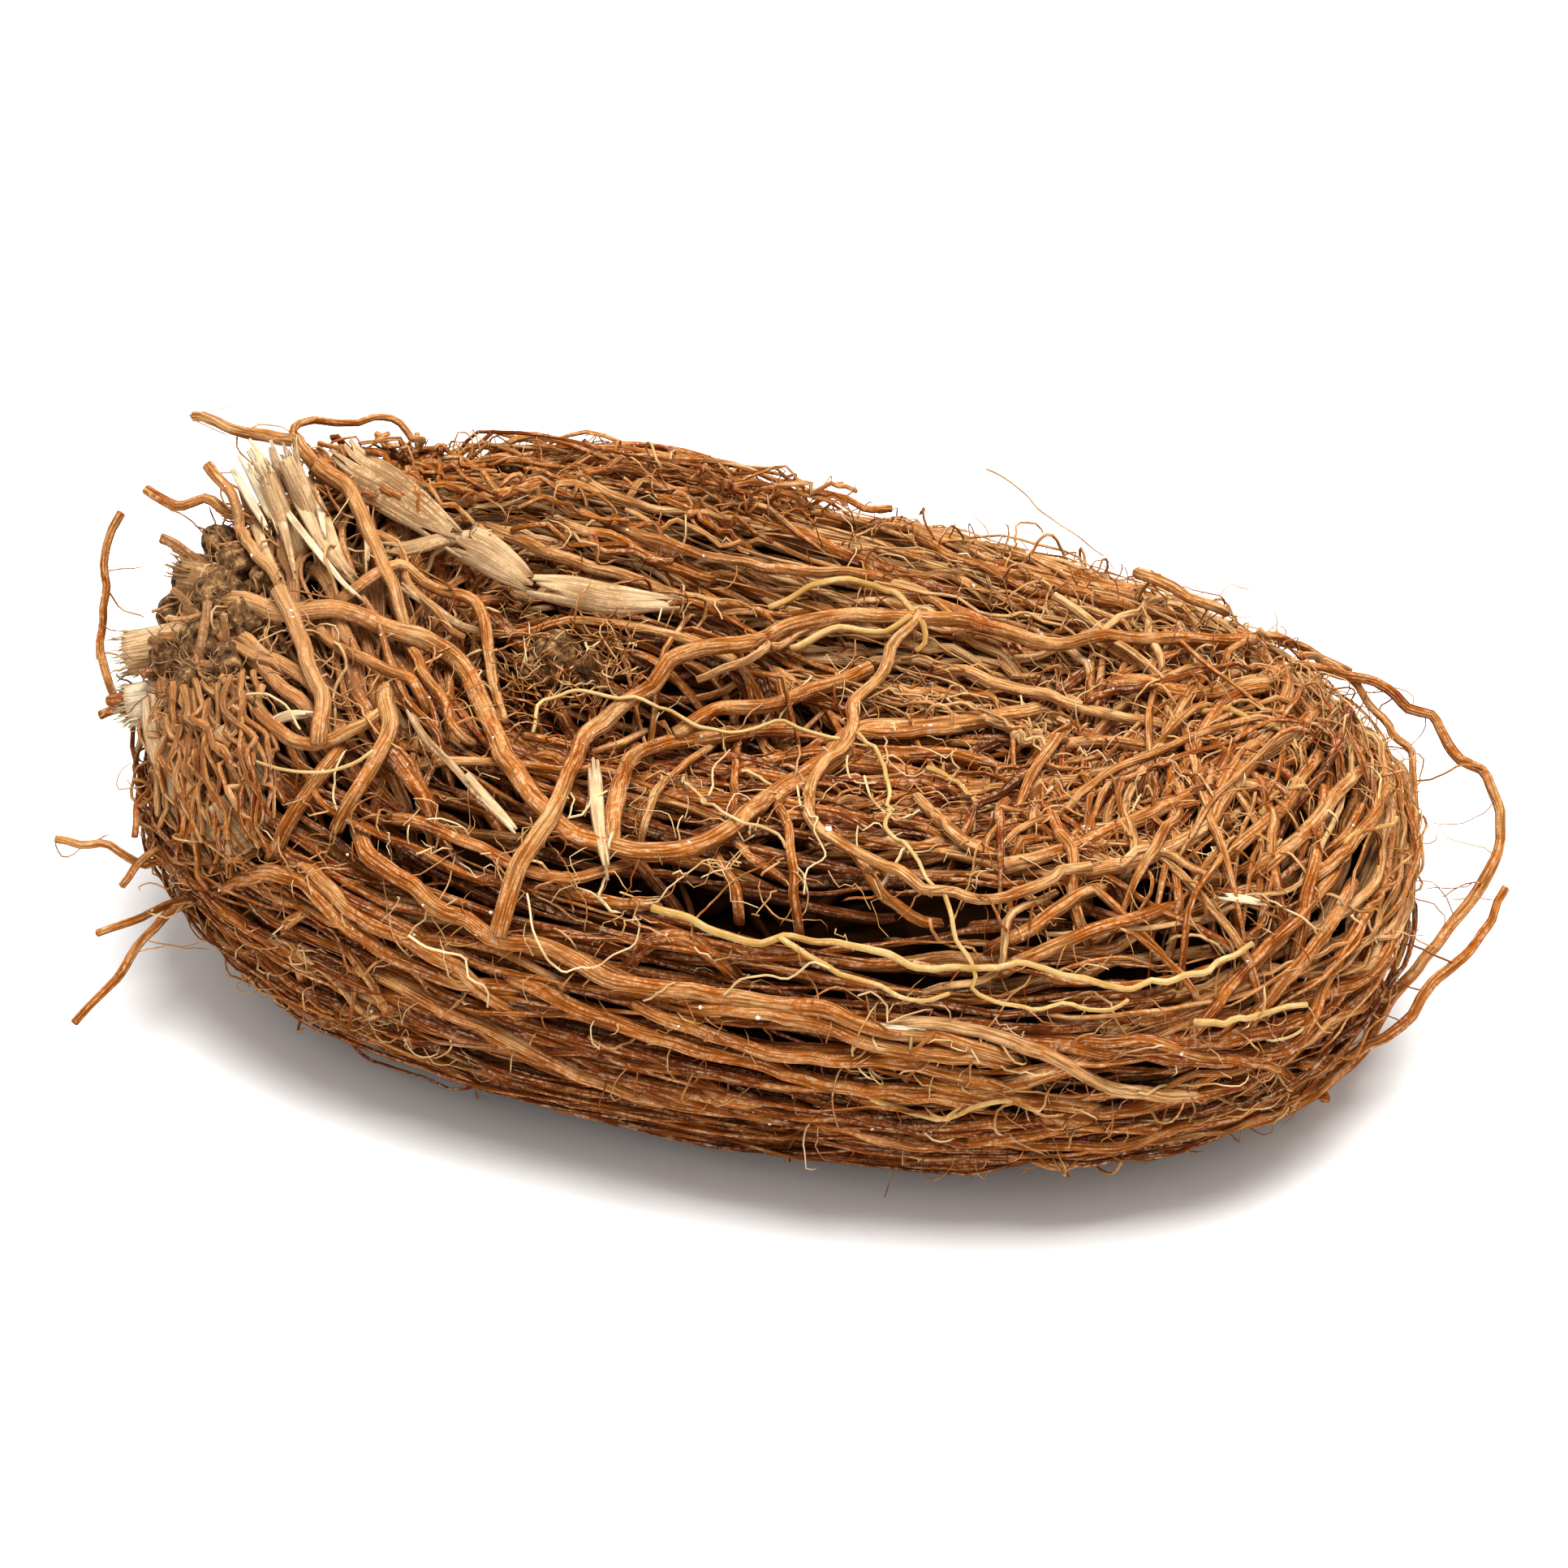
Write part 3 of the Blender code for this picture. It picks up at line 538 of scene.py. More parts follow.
def bark_material(name, colours, groove_shade_strength, bump_distance):
    """Dried bark: a colour for each root, patches along it, grooves darkened with painted shade, ridges
    rubbed to cream and lit with painted highlights, and roots deep in the nest darkened with painted shade.

    Scales are per millimetre, so patches are about 6 mm long, flakes under 1 mm, and grooves 0.3 mm wide.
    """
    made, tree, shader = new_material(name, 0.9, 0.06)
    shade, grain, near, depth = [
        add_node(tree, "ShaderNodeAttribute", {"attribute_name": attribute}, {})
        for attribute in ("shade", "grain", "near_crown", "depth")
    ]
    on_grain = {"Vector": grain.outputs["Vector"]}
    patches = add_node(tree, "ShaderNodeTexNoise", {"Scale": PATCH_SCALE, "Detail": 4}, on_grain)
    spread = add_node(
        tree,
        "ShaderNodeMath",
        {"operation": "MULTIPLY_ADD", 1: PATCH_SPREAD, 2: -PATCH_SPREAD / 2},
        {0: patches.outputs["Fac"]},
    )
    toned = add_node(
        tree, "ShaderNodeMath", {"operation": "ADD"}, {0: shade.outputs["Fac"], 1: spread.outputs["Value"]}
    )
    ramp = add_node(tree, "ShaderNodeValToRGB", {}, {"Fac": toned.outputs["Value"]})
    set_stops(ramp, [(colour, index / (len(colours) - 1)) for index, colour in enumerate(colours)])
    long_grain = add_node(
        tree, "ShaderNodeMapping", {"vector_type": "POINT", "Scale": (1, 1, STREAK_LENGTHENING)}, on_grain
    )
    streaks = add_node(
        tree,
        "ShaderNodeTexNoise",
        {"Scale": STREAK_SCALE, "Detail": 4},
        {"Vector": long_grain.outputs["Vector"]},
    )
    # Painted shade: the low parts of the streaks, which the bump sinks into grooves, are darkened.
    grooves = add_node(
        tree,
        "ShaderNodeMapRange",
        {"From Min": 0.52, "From Max": 0.41, "To Max": groove_shade_strength},
        {"Value": streaks.outputs["Fac"]},
    )
    flakes = add_node(
        tree, "ShaderNodeTexNoise", {"Scale": FLAKE_SCALE, "Detail": 5, "Roughness": 0.7}, on_grain
    )
    flaked = add_node(
        tree,
        "ShaderNodeMapRange",
        {"From Min": 0.44, "From Max": 0.6, "To Max": MOST_RUBBED_AND_HIGHLIT},
        {"Value": flakes.outputs["Fac"]},
    )
    # The raised parts of the streaks, where the bump stands up, take the cream: rubbed flakes of bark with
    # a painted highlight on them.
    ridges = add_node(
        tree, "ShaderNodeMapRange", {"From Min": 0.46, "From Max": 0.6}, {"Value": streaks.outputs["Fac"]}
    )
    rubbed_and_highlit = add_node(
        tree, "ShaderNodeMath", {"operation": "MULTIPLY"}, {0: flaked.outputs[0], 1: ridges.outputs[0]}
    )
    greying = add_node(
        tree, "ShaderNodeMath", {"operation": "MULTIPLY", 1: MOST_GREYED}, {0: near.outputs["Fac"]}
    )
    colour = ramp.outputs["Color"]
    for share, layer in (
        (grooves.outputs[0], GROOVE_SHADE_BROWN),
        (rubbed_and_highlit.outputs[0], RUBBED_AND_HIGHLIGHT_CREAM),
        (greying.outputs[0], CROWN_TAN),
        (depth.outputs["Fac"], SHADED_BROWN),
    ):
        layered = add_node(
            tree, "ShaderNodeMix", {"data_type": "RGBA", 7: linear(layer)}, {0: share, 6: colour}
        )
        colour = layered.outputs[2]
    tree.links.new(colour, shader.inputs["Base Color"])
    rough = add_node(
        tree, "ShaderNodeMath", {"operation": "ADD"}, {0: streaks.outputs["Fac"], 1: flakes.outputs["Fac"]}
    )
    bump = add_node(
        tree,
        "ShaderNodeBump",
        {"Strength": 1.0, "Distance": bump_distance},
        {"Height": rough.outputs["Value"]},
    )
    tree.links.new(bump.outputs["Normal"], shader.inputs["Normal"])
    return made


root_bark = bark_material(
    "dried_root_bark", [BARK_DARK, BARK_RED, BARK_ORANGE, BARK_TAN, BARK_STRAW], 0.6, 0.4 * MM
)

# The strand's layers from the inside out. A row is the number, the reach or the two that it lies between,
# the sizes, how seldom one may close a gap, the steps round a root, its ridges and the nodes it stands for.
OFTEN = 2
SELDOM = 12
LAYERS = [
    ("inner_roots", 130, [0.86], (1.3, 2.4), OFTEN, 0, 0.1, ()),
    ("middle_roots", 176, [0.93], (1.1, 2.4), SELDOM, 1, 0.12, ("rootstock",)),
    ("outer_roots", 230, [1.0], (0.9, 2.4), SELDOM, 1, 0.12, ()),
    ("thin_roots", 346, [0.99, 1.07], (0.4, 1.0), SELDOM, 0, 0.1, ()),
]
GAP_FLOOR = 4.6 * MM
ROOT_STEP = 2 * MM
STRAND_ROUND = 2 * (NEST_LENGTH + NEST_DEPTH) * 0.8
CROWN_SHARE = 0.4
CROWN_SPREAD = 0.45
SPANS = (0.9, 2.9)
TURNS = (-1.8, math.pi + 0.25)
DRIFT = 0.6
WEAVE = 0.22
WEAVE_SPACING = 34 * MM
HEAVE = 0.035
HEAVE_SPACING = 22 * MM
END_SINK = 0.2
TOP_SINK = 0.09
STRAND_WAVE = (1.0 * MM, 13 * MM)
STRAND_KINKS = (0.4, 0.85)
KINK_SPACING = 4.5 * MM
THICKEST_IN_FRONT = (1.15, 0.6)
TAPERS = (0.6, 0.95)
# Roots towards this angle round the nest, at the back and right, are paler. This is partly their own tan
# and partly painted light where the strand's top faces the lamp. The front is darker as painted shade.
PALEST_AND_LIGHTEST_ANGLE = 1.3
STRAND_SHADES = (0.24, 0.94)


def crosses_gap(route):
    """Whether a root would close a dark gap: it is seen inside one, and near the nest's surface."""
    across, down, nearer = drawn_places(route)
    for gap in GAPS:
        over = distances_from(gap, across, down) < 1
        if over.any() and (nearness_of_nest(across[over], down[over]) - nearer[over]).min() < GAP_FLOOR:
            return True
    return False


def open_gaps(roots, kept):
    """The roots without those that would close a gap, except one in every so many."""
    return [root for index, root in enumerate(roots) if index % kept == 0 or not crosses_gap(root[0])]


def hank_root(draw, reach, thin, thick):
    """A root that runs round the nest at one depth, weaving, and sinks at both ends."""
    if draw.uniform() < CROWN_SHARE:
        around = CROWN_ANGLE + draw.uniform(-CROWN_SPREAD, CROWN_SPREAD)
    else:
        around = draw.uniform(0, math.tau)
    way = draw.choice([-1, 1])
    span = draw.uniform(*SPANS)
    turn = draw.uniform(*TURNS)
    count = int(span / math.tau * STRAND_ROUND / ROOT_STEP)
    share = np.linspace(0, 1, count)
    turns = turn + draw.uniform(-DRIFT, DRIFT) * share
    turns += WEAVE * soft_noise(draw, count, ROOT_STEP, WEAVE_SPACING, 1)[:, 0]
    depths = reach + HEAVE * soft_noise(draw, count, ROOT_STEP, HEAVE_SPACING, 1)[:, 0]
    depths -= END_SINK * end_shares(share, 9) + TOP_SINK * np.maximum(0, np.sin(turns))
    route = nest_points(around + way * span * share, turns, depths)
    backness = 0.5 + 0.5 * math.sin(around + way * span / 2)
    # Partly the roots' own tone, partly painted light: paler at the back and right, darker at the front.
    paleness_and_light = 0.5 + 0.5 * math.cos(around + way * span / 2 - PALEST_AND_LIGHTEST_ANGLE)
    kinks = (mix(*STRAND_KINKS, paleness_and_light) * MM, KINK_SPACING)
    route = wavered(draw, route, ROOT_STEP, [STRAND_WAVE, kinks])
    route[:, 2] = np.maximum(route[:, 2], LOWEST_MIDDLE)
    size = thin * (thick / thin) ** draw.uniform() * mix(*THICKEST_IN_FRONT, backness) * MM
    radii = thickness(draw, count, ROOT_STEP, size, size * draw.uniform(*TAPERS), draw.uniform() < 0.1)
    return route, radii, np.clip(draw.normal(mix(*STRAND_SHADES, paleness_and_light), 0.16), 0.02, 0.98)


draw = np.random.RandomState(11)
strand = {}
for name, number, reaches, sizes, kept, round_steps, ridge, nodes in LAYERS:
    roots = []
    for _ in range(number):
        reach = draw.uniform(*reaches) if len(reaches) > 1 else reaches[0]
        roots.append(hank_root(draw, reach, *sizes))
    strand[name] = open_gaps(roots, kept)
    root_piece(draw, name, strand[name], round_steps, ridge, root_bark, nodes=nodes)

# Crossing roots
# Inside the strand, roots lie across the nest in every direction and bridge its hollow: from the crown
# forwards, from the front back to the folded end, and lengthwise. Dark gaps stay open between them. An
# area is where they start, left to right and front to back, and where they end, in millimetres. A row is
# the area, the number, the depths below the nest's top, the sizes and the shade.
LEFT_FAN = ((-70, -48), (0, 24), (-46, 26), (-42, -26))
RIGHT_FAN = ((-22, 22), (-34, -4), (34, 72), (-6, 30))
LENGTHWISE = ((-62, -20), (-6, 30), (14, 64), (-12, 32))
ANYWHERE = ((-58, 62), (-30, 30), (-58, 62), (-30, 30))
MIDDLE_TANGLE = ((-30, 66), (-26, 22), (-26, 68), (-30, 24))
BACK_CORNER = ((-56, -30), (27, 43), (-36, 6), (30, 45))
RIGHT_END = ((26, 72), (-34, 28), (26, 72), (-34, 28))
CROSSINGS = [
    (LEFT_FAN, 90, 0.2, 9, 0.8, 2.2, 0.42),
    (RIGHT_FAN, 76, 1.4, 10, 1.0, 2.5, 0.42),
    (LENGTHWISE, 44, 2.4, 11, 1.0, 2.0, 0.38),
    (ANYWHERE, 100, 0.2, 8, 0.5, 1.4, 0.44),
    (MIDDLE_TANGLE, 170, 0.0, 7, 0.5, 1.2, 0.42),
    (BACK_CORNER, 90, -2.6, 1.5, 0.4, 1.0, 0.6),
    (RIGHT_END, 110, -1.6, 1.5, 0.6, 1.7, 0.52),
]
CROSSING_BOW = 0.16
CROSSING_SINK = 7 * MM
CROSSING_WAVES = [(1.8 * MM, 17 * MM), (0.8 * MM, 5 * MM)]
SHADE_SPREAD = 0.18


def nest_tops(x, y):
    """How high the nest's upper surface is at x and y."""
    outward = np.clip(outward_shares(x, y), 0, 1)
    top = STRAND_MIDDLE + STRAND_HEIGHT / 2 * np.sqrt(1 - (2 * outward - 1) ** 2)
    return np.where(outward < 0.5, np.maximum(top, BRIDGE_HEIGHT), top) * rise(nest_angle(x, y))


def crossing_root(draw, area, depth, thin, thick, shade):
    """A root that lies across the nest, at some depth below its top, and sinks in at both ends."""
    ends = np.array([draw.uniform(*limits) for limits in area]) * MM
    start = ends[:2]
    way = ends[2:] - start
    count = max(8, int(np.linalg.norm(way) / ROOT_STEP))
    share = np.linspace(0, 1, count)[:, None]
    side = np.array([-way[1], way[0]])
    bow = draw.uniform(-CROSSING_BOW, CROSSING_BOW)
    plan = start + way * share + side * bow * np.sin(math.pi * share)
    sink = CROSSING_SINK * end_shares(share, 5)[:, 0]
    route = np.column_stack([plan, nest_tops(plan[:, 0], plan[:, 1]) - depth - sink])
    route = wavered(draw, route, ROOT_STEP, CROSSING_WAVES)
    size = draw.uniform(thin, thick) * MM
    radii = thickness(draw, count, ROOT_STEP, size, size * draw.uniform(*TAPERS), draw.uniform() < 0.15)
    return route, radii, np.clip(draw.normal(shade, SHADE_SPREAD), 0.02, 0.98)


crossing_roots = []
for area, number, shallow, deep, *row in CROSSINGS:
    for _ in range(number):
        crossing_roots.append(crossing_root(draw, area, draw.uniform(shallow, deep) * MM, *row))
crossing_roots = open_gaps(crossing_roots, SELDOM)
root_piece(draw, "crossing_roots", crossing_roots, 1, 0.12, root_bark)

# Resting roots
# The nest lies on roots that cross under its middle, pressed flat against whatever it rests on. They are
# the same dried roots, and sink into the strand all round.
RESTING_ROOTS = 150
RESTING_LAYERS = 4
RESTING_LENGTH = 52
RESTING_DEPTH = 27
RESTING_SPREAD = 0.9
RESTING_SIZES = (1.0, 2.3)
PRESSED_HEIGHT = 0.65
LAYER_HEIGHT = 1.7
RESTING_RISE = 4 * MM
RESTING_WAVES = [(1.4 * MM, 17 * MM), (0.4 * MM, 5 * MM)]


def resting_root(draw, layer):
    """A root that crosses under the middle, in one of the layers pressed on one another there."""
    turn = draw.uniform(0, math.tau)
    across = turn + math.pi + draw.uniform(-RESTING_SPREAD, RESTING_SPREAD)
    start, end = [
        np.array([RESTING_LENGTH * math.cos(angle), RESTING_DEPTH * math.sin(angle)])
        for angle in (turn, across)
    ]
    count = max(8, int(np.linalg.norm(end - start) * MM / ROOT_STEP))
    share = np.linspace(0, 1, count)
    size = draw.uniform(*RESTING_SIZES) * MM
    height = PRESSED_HEIGHT * size + layer * LAYER_HEIGHT * MM + RESTING_RISE * end_shares(share, 5)
    route = np.column_stack([(start + (end - start) * share[:, None]) * MM, height])
    route = wavered(draw, route, ROOT_STEP, RESTING_WAVES)
    route[:, 2] = np.maximum(route[:, 2], PRESSED_HEIGHT * size)
    return route, thickness(draw, count, ROOT_STEP, size, size * 0.85, False), draw.uniform(0.2, 0.7)


resting_roots = [resting_root(draw, index % RESTING_LAYERS) for index in range(RESTING_ROOTS)]
root_piece(draw, "resting_roots", resting_roots, 0, 0.1, root_bark)

# Roots laid on top
# The thickest and longest roots lie loose over the rest, each along its own route: the big arcs from the
# crown, the long ones over the front strand, and those that cross at the folded end. Their bark has deep
# grooves along them. A row is the diameters at both ends, the lift off the nest, the shade and the route,
# where a third number is the height above the resting plane. Stray roots stand clear of the nest.
LAID_PALER = 0.1
LAID_SIZE = 0.84
LOOSE_LIFT = 2.2
SINKING_LENGTH = 5 * MM
LAID_STEP = 1.3 * MM
LAID_WAVE = (0.35 * MM, 9 * MM)
LAID_KINKS = 0.42 * MM
LAID_KINK_SPACING = 2.6 * MM
LAID_ROOTS = [
    (3, 2.4, 1.4, 0.52, [(26.5, 73.5), (30, 74.2), (34.5, 75.8), (38, 75.5), (41, 75.2), (44, 76),
        (47, 77.5), (50, 78.5), (53, 79.7), (55.5, 81.2), (57.6, 83.6), (60, 88), (62.5, 93), (66, 98.8),
        (70, 103), (74, 104.2), (79, 105.2), (85, 104.8), (89, 103), (92, 100.5), (95, 98.5), (99, 95.8),
        (102, 93.5), (104.5, 90.5), (107.5, 89.6), (115.8, 89.2), (125, 87.8), (130, 86.8)]),
    (2.6, 1.9, 3, 0.5, [(61.3, 115.6), (62.5, 112), (64, 107), (66, 103.5), (68.3, 100), (69.7, 96),
        (70.8, 93), (72, 91), (74, 89.5), (76, 87.5), (78.5, 85.5), (80.5, 84.5), (81.5, 83),
        (82.5, 81.5), (85, 80.5), (87, 80), (90, 79.8), (92, 79.5), (95, 78), (98, 76.7), (101, 76.2),
        (104.5, 75.7), (108, 75.8), (112, 76), (120, 76.6), (125, 78), (128, 79), (131, 79.3),
        (134, 78.6), (137, 78.2), (142, 78.8), (148, 79), (154.5, 78.5)]),
    (1.4, 1.3, 2.6, 0.8, [(85.5, 83.3), (88, 82.5), (90.5, 81.5), (93, 80.5), (96, 79.5), (98.5, 78),
        (101, 77), (103.5, 76.2), (106, 75.2), (109, 75.7), (112, 76)]),
    (2.4, 2.1, 2.4, 0.48, [(75.7, 103.8), (75.8, 99.5), (76.6, 95.5), (78.5, 92.6), (81.5, 91.4),
        (85, 90.7), (90, 90.2), (94, 89.6), (97.5, 89.3)]),
    (2.3, 2.3, 2.6, 0.5, [(83, 90.5), (85, 89.4), (87, 88), (89, 87.2), (93, 87), (96, 86.5), (100, 85.2),
        (104, 84), (107.5, 82.4)]),
    (1.7, 1.5, 3, 0.66, [(113.5, 75.6), (111.6, 77.4), (109.9, 80), (109.5, 81.5), (108.5, 83.5),
        (107, 85), (105.5, 86.5), (105, 88), (105.2, 89.5), (104, 92), (101.5, 94.5), (100, 96.5),
        (99.8, 98), (100, 100.5), (100.7, 102), (103, 103.5), (106, 105), (109, 106.2), (111, 107.2),
        (113, 109), (115, 109.5), (118, 110), (121, 110.8), (124, 110.5), (127, 109.8), (129.5, 108.5),
        (130.2, 107.5), (134, 106.8)]),
    (2, 1.9, 2.2, 0.55, [(94, 99), (97.5, 96.5), (100, 95.5), (103.5, 93), (105.5, 90), (108, 90.3),
        (115, 90), (120, 89)]),
    (2.6, 2.3, 1.8, 0.5, [(135, 85.5), (138, 84.5), (142, 84.2), (146, 85), (150, 85), (153, 84),
        (156, 83.4), (158.5, 82)]),
    (1.7, 1.6, 3.4, 0.72, [(25.4, 57.2, 57), (27, 59, 57), (28.5, 60.7), (29.3, 63), (30, 65), (31.2, 68),
        (33, 70), (34.5, 72.5)]),
    (2.5, 2.3, 3.4, 0.6, [(34.5, 72.3), (35.5, 74.5), (36.5, 76.5), (37.5, 79), (38.5, 82), (39.2, 84),
        (39.6, 86), (39.5, 88), (39.4, 91.5)]),
    (1.5, 2.1, 2.6, 0.62, [(24, 51.3, 58), (25, 51.3, 58), (27.5, 52.5, 59), (31, 53.3, 60),
        (34.5, 54, 60), (36.2, 54.3, 60), (37.5, 55.6, 60.5), (39, 57.3, 61)]),
    (2.4, 2, 2.8, 0.6, [(39, 57.2, 61), (41, 58.8, 60), (43, 60, 59), (43.9, 62), (45, 65), (46.3, 68),
        (47.7, 71), (48.8, 73.5), (50, 77.5)]),
    (1.5, 1.7, 1.8, 0.42, [(23.5, 75.5), (25, 76.8), (27, 78), (29, 79.2), (31, 80.2), (34, 81.6),
        (36.5, 83.4)]),
    (2.2, 2, 1.2, 0.5, [(28.5, 77.5), (30.5, 79), (33, 81), (35, 82), (36.5, 83), (38, 84.5),
        (39.5, 87)]),
    (2.3, 2, 1, 0.5, [(30, 80), (32, 82), (33.5, 83.5), (35, 85), (36.5, 86), (38, 87.8), (39, 90.5)]),
    (1.7, 1.5, 1.8, 0.58, [(39, 77), (40, 78.5), (42, 80), (44.5, 81), (46.5, 82), (49, 83.5), (51, 84.5),
        (52, 86), (53, 88.5)]),
    (1.9, 1.8, 2.4, 0.55, [(41.5, 74.2), (44, 72.5), (47, 70.6), (50, 70), (52, 71.5), (54.5, 72.7),
        (57.5, 73.3), (59, 75), (59.7, 77.5), (60, 80), (60.5, 83), (61.5, 86), (62.3, 89)]),
    (1.5, 1.4, 1.4, 0.5, [(50, 79), (51.5, 81.5), (53, 84), (54.5, 86.5), (55.8, 89), (58, 92)]),
    (1.3, 1.1, 2.4, 0.64, [(46, 65.2), (47.5, 65.6), (49, 67), (49.7, 69), (50, 71), (51, 73), (53.5, 75),
        (55.5, 78), (57, 79)]),
    (2.3, 1.9, 2.2, 0.66, [(47.5, 83.8), (47.9, 87), (48.3, 90), (47, 93), (45.5, 95.5), (44, 97.5),
        (42.5, 100), (41.6, 102.3)]),
    (2.3, 1.9, 1.8, 0.5, [(31, 86), (32.5, 88.5), (34.5, 90.2), (37, 91.7), (40, 91.5), (43, 90),
        (45, 89), (46.5, 88), (47.5, 86.5)]),
    (2.3, 2.1, 1, 0.42, [(42, 89.5), (41, 93), (39.5, 95), (37.2, 98.8), (35.2, 102), (33.5, 106)]),
    (2.3, 2.1, 0.9, 0.44, [(34, 105), (37.5, 106.7), (40, 109), (43, 111.5), (46, 113.8), (49.5, 115.2),
        (53, 117.5), (57, 119.7), (60, 122.5), (66, 125.5)]),
    (2.6, 2.4, 1.2, 0.46, [(44, 102), (45.5, 105), (48, 107), (51, 109), (54, 111.7), (57.5, 113.2),
        (60, 115.3), (63, 116.1), (66.5, 116.6), (70, 118.3), (73, 120), (76, 121), (80, 121.5),
        (84, 122), (88, 122.5), (92, 123), (96, 123.6), (100, 123.9), (103, 124.6), (106, 126),
        (109.5, 127), (114, 127.6), (120, 129), (126, 131)]),
    (1.9, 1.7, 1, 0.4, [(48, 101), (51, 101.6), (55, 103), (59, 104.4), (62, 106), (65, 107.6),
        (69, 108.6), (73, 107.8), (77, 106.5)]),
    (2.2, 2, 0.8, 0.44, [(30, 107.6), (34, 107.6), (38, 109.2), (41, 112), (44, 114.8), (48, 117.4),
        (52, 119.4), (57, 121), (62, 121.4), (66, 122.6)]),
    (2.2, 2.1, 1, 0.42, [(61, 119.8), (66, 121.6), (70, 123.6), (74, 125), (78, 126.6), (82, 128),
        (86, 129.4), (90, 130.5), (94, 131.5), (98, 132.5), (102, 133.4), (106, 134), (110, 134.5),
        (115, 135), (121, 136)]),
    (1.9, 1.8, 1.2, 0.46, [(76, 123), (80, 125), (85, 126.6), (90, 128.2), (95, 129.6), (100, 130.1),
        (105, 130.6), (110, 131.2), (115, 132), (120, 133), (127, 134.4)]),
    (2.1, 2, 1.4, 0.5, [(83, 124), (88, 124.6), (93, 125.1), (98, 125.5), (102, 126.2), (106, 128),
        (110, 129.1), (115, 130), (120, 130.4), (126, 131.4)]),
    (2.4, 2.2, 0.8, 0.4, [(86, 133), (90, 135.5), (94, 136.2), (98, 137), (102, 138.2), (106, 139.3),
        (110, 140.3), (114, 140.8), (120, 140.4), (126, 139.8), (132, 139), (138.5, 138.3)]),
    (2.6, 2.2, 0.7, 0.45, [(45, 119.5), (50, 121.8), (55, 124.4), (60, 126), (64.5, 128.5), (68.5, 130.6),
        (72, 132.2), (75, 133.2), (79, 134.8), (84, 136)]),
    (2.4, 2.2, 0.6, 0.34, [(77.5, 118.6), (80, 116.6), (84, 115.8), (87, 117.5), (89, 119), (91, 121)]),
    (1.7, 1.6, 0.6, 0.4, [(69, 109.6), (74, 110.8), (77.5, 111.4), (81, 111.9)]),
    (2.1, 1.9, 1.2, 0.78, [(108, 126.3), (114, 126.3), (119.5, 126.8), (124, 128.2), (128.5, 129.6),
        (131, 131), (134.5, 133), (138.5, 134.4), (143, 134.8), (150, 134.6)]),
    (1.8, 1.5, 1, 0.44, [(130, 128.6), (136, 128.5), (140, 128.1), (144, 129.2), (148, 130.1),
        (153, 130.6), (157, 131.6), (160, 133.4), (163.6, 135.4, 9)]),
    (2.4, 2.2, 0.6, 0.42, [(112, 132.4), (118, 134), (125, 135.4), (131, 136.1), (137, 137)]),
    (1.8, 1.7, 1.6, 0.7, [(115, 82.6), (119, 82.6), (122, 84), (125, 85), (129, 85.5), (132, 86.6),
        (136, 87.6), (140, 88.2), (145, 89.2)]),
    (1.9, 1.8, 1.2, 0.42, [(123, 98.5), (126, 95.4), (129, 93), (132, 91.7), (137, 91.4), (144, 91.8)]),
    (1.4, 1.3, 1.6, 0.62, [(126, 97.6), (131, 95.8), (135, 95), (139, 94), (142, 93), (145, 91.6),
        (147.5, 90.2)]),
    (2.3, 2.1, 1.2, 0.52, [(122, 107), (126, 106.2), (130, 105.2), (134, 103.8), (138, 102), (142, 100.4),
        (146, 98.6), (150, 96)]),
    (2.3, 2.1, 1.4, 0.6, [(131, 108), (139, 106.2), (144, 104.5), (148, 102), (151, 98.6), (153.2, 95.6),
        (156, 93), (159, 91), (161.5, 88.5)]),
    (2.1, 1.9, 1.2, 0.55, [(143, 106.5), (147, 103), (150, 98), (153, 93.5), (156, 90.5), (157.8, 88),
        (158.8, 85), (158, 82.6)]),
    (1.3, 1.2, 2, 0.8, [(131, 79.4), (134, 78.4), (136, 77.5), (138, 76), (140, 75), (142, 74),
        (143.6, 73.7)]),
    (1.4, 1.2, 2.4, 0.8, [(130.3, 73.4), (133, 75), (135, 76.5), (138, 79), (140, 81), (141.6, 82.6),
        (143.2, 84.2)]),
    (1.3, 1.2, 2.2, 0.76, [(140.4, 75.3), (141.5, 78), (142.6, 80), (143.3, 82.8), (143.2, 84.6)]),
    (1.3, 1.1, 1.8, 0.76, [(137.2, 108.2), (139.4, 106), (139.4, 103), (139, 99), (140, 96), (142, 93.2),
        (145.4, 90.4)]),
    (1.4, 1.2, 2, 0.58, [(145.2, 85.8), (145.8, 88.6), (146.6, 91.4), (147.6, 95), (148, 98), (149, 101),
        (150.8, 104.6)]),
    (1.1, 0.9, 1.8, 0.75, [(143.6, 85.6), (144.6, 88.2), (145.6, 91)]),
    (1.3, 1.1, 2.2, 0.78, [(134, 104.8), (136, 106.2), (138.6, 106.8), (140.2, 105.5), (143, 105.2),
        (146, 106.8), (149, 108), (152, 108.4)]),
    (1.1, 0.9, 2, 0.8, [(129.8, 109.2), (126.2, 111.4), (124.2, 113.4), (123.8, 116), (123.4, 118),
        (122.4, 120), (120, 121.4), (116.2, 121.8), (113, 122.6)]),
    (2.3, 2.1, 0.9, 0.46, [(123, 120), (127, 117.6), (131, 116), (135, 114.2), (140, 113), (145, 111.2)]),
    (2.2, 2, 0.8, 0.44, [(122, 117.2), (126, 115), (130, 112.8), (133, 110.6), (137, 109)]),
    (1.9, 1.8, 0.8, 0.4, [(146, 129), (150, 124), (154, 119), (158, 115), (162, 111), (165, 107)]),
    (2, 1.8, 0.8, 0.46, [(152, 128.8), (156, 124), (160, 119), (164, 114), (167, 109)]),
    (1.9, 1.8, 0.8, 0.4, [(158.6, 129), (162.4, 124), (165, 119), (167, 115), (169, 111)]),
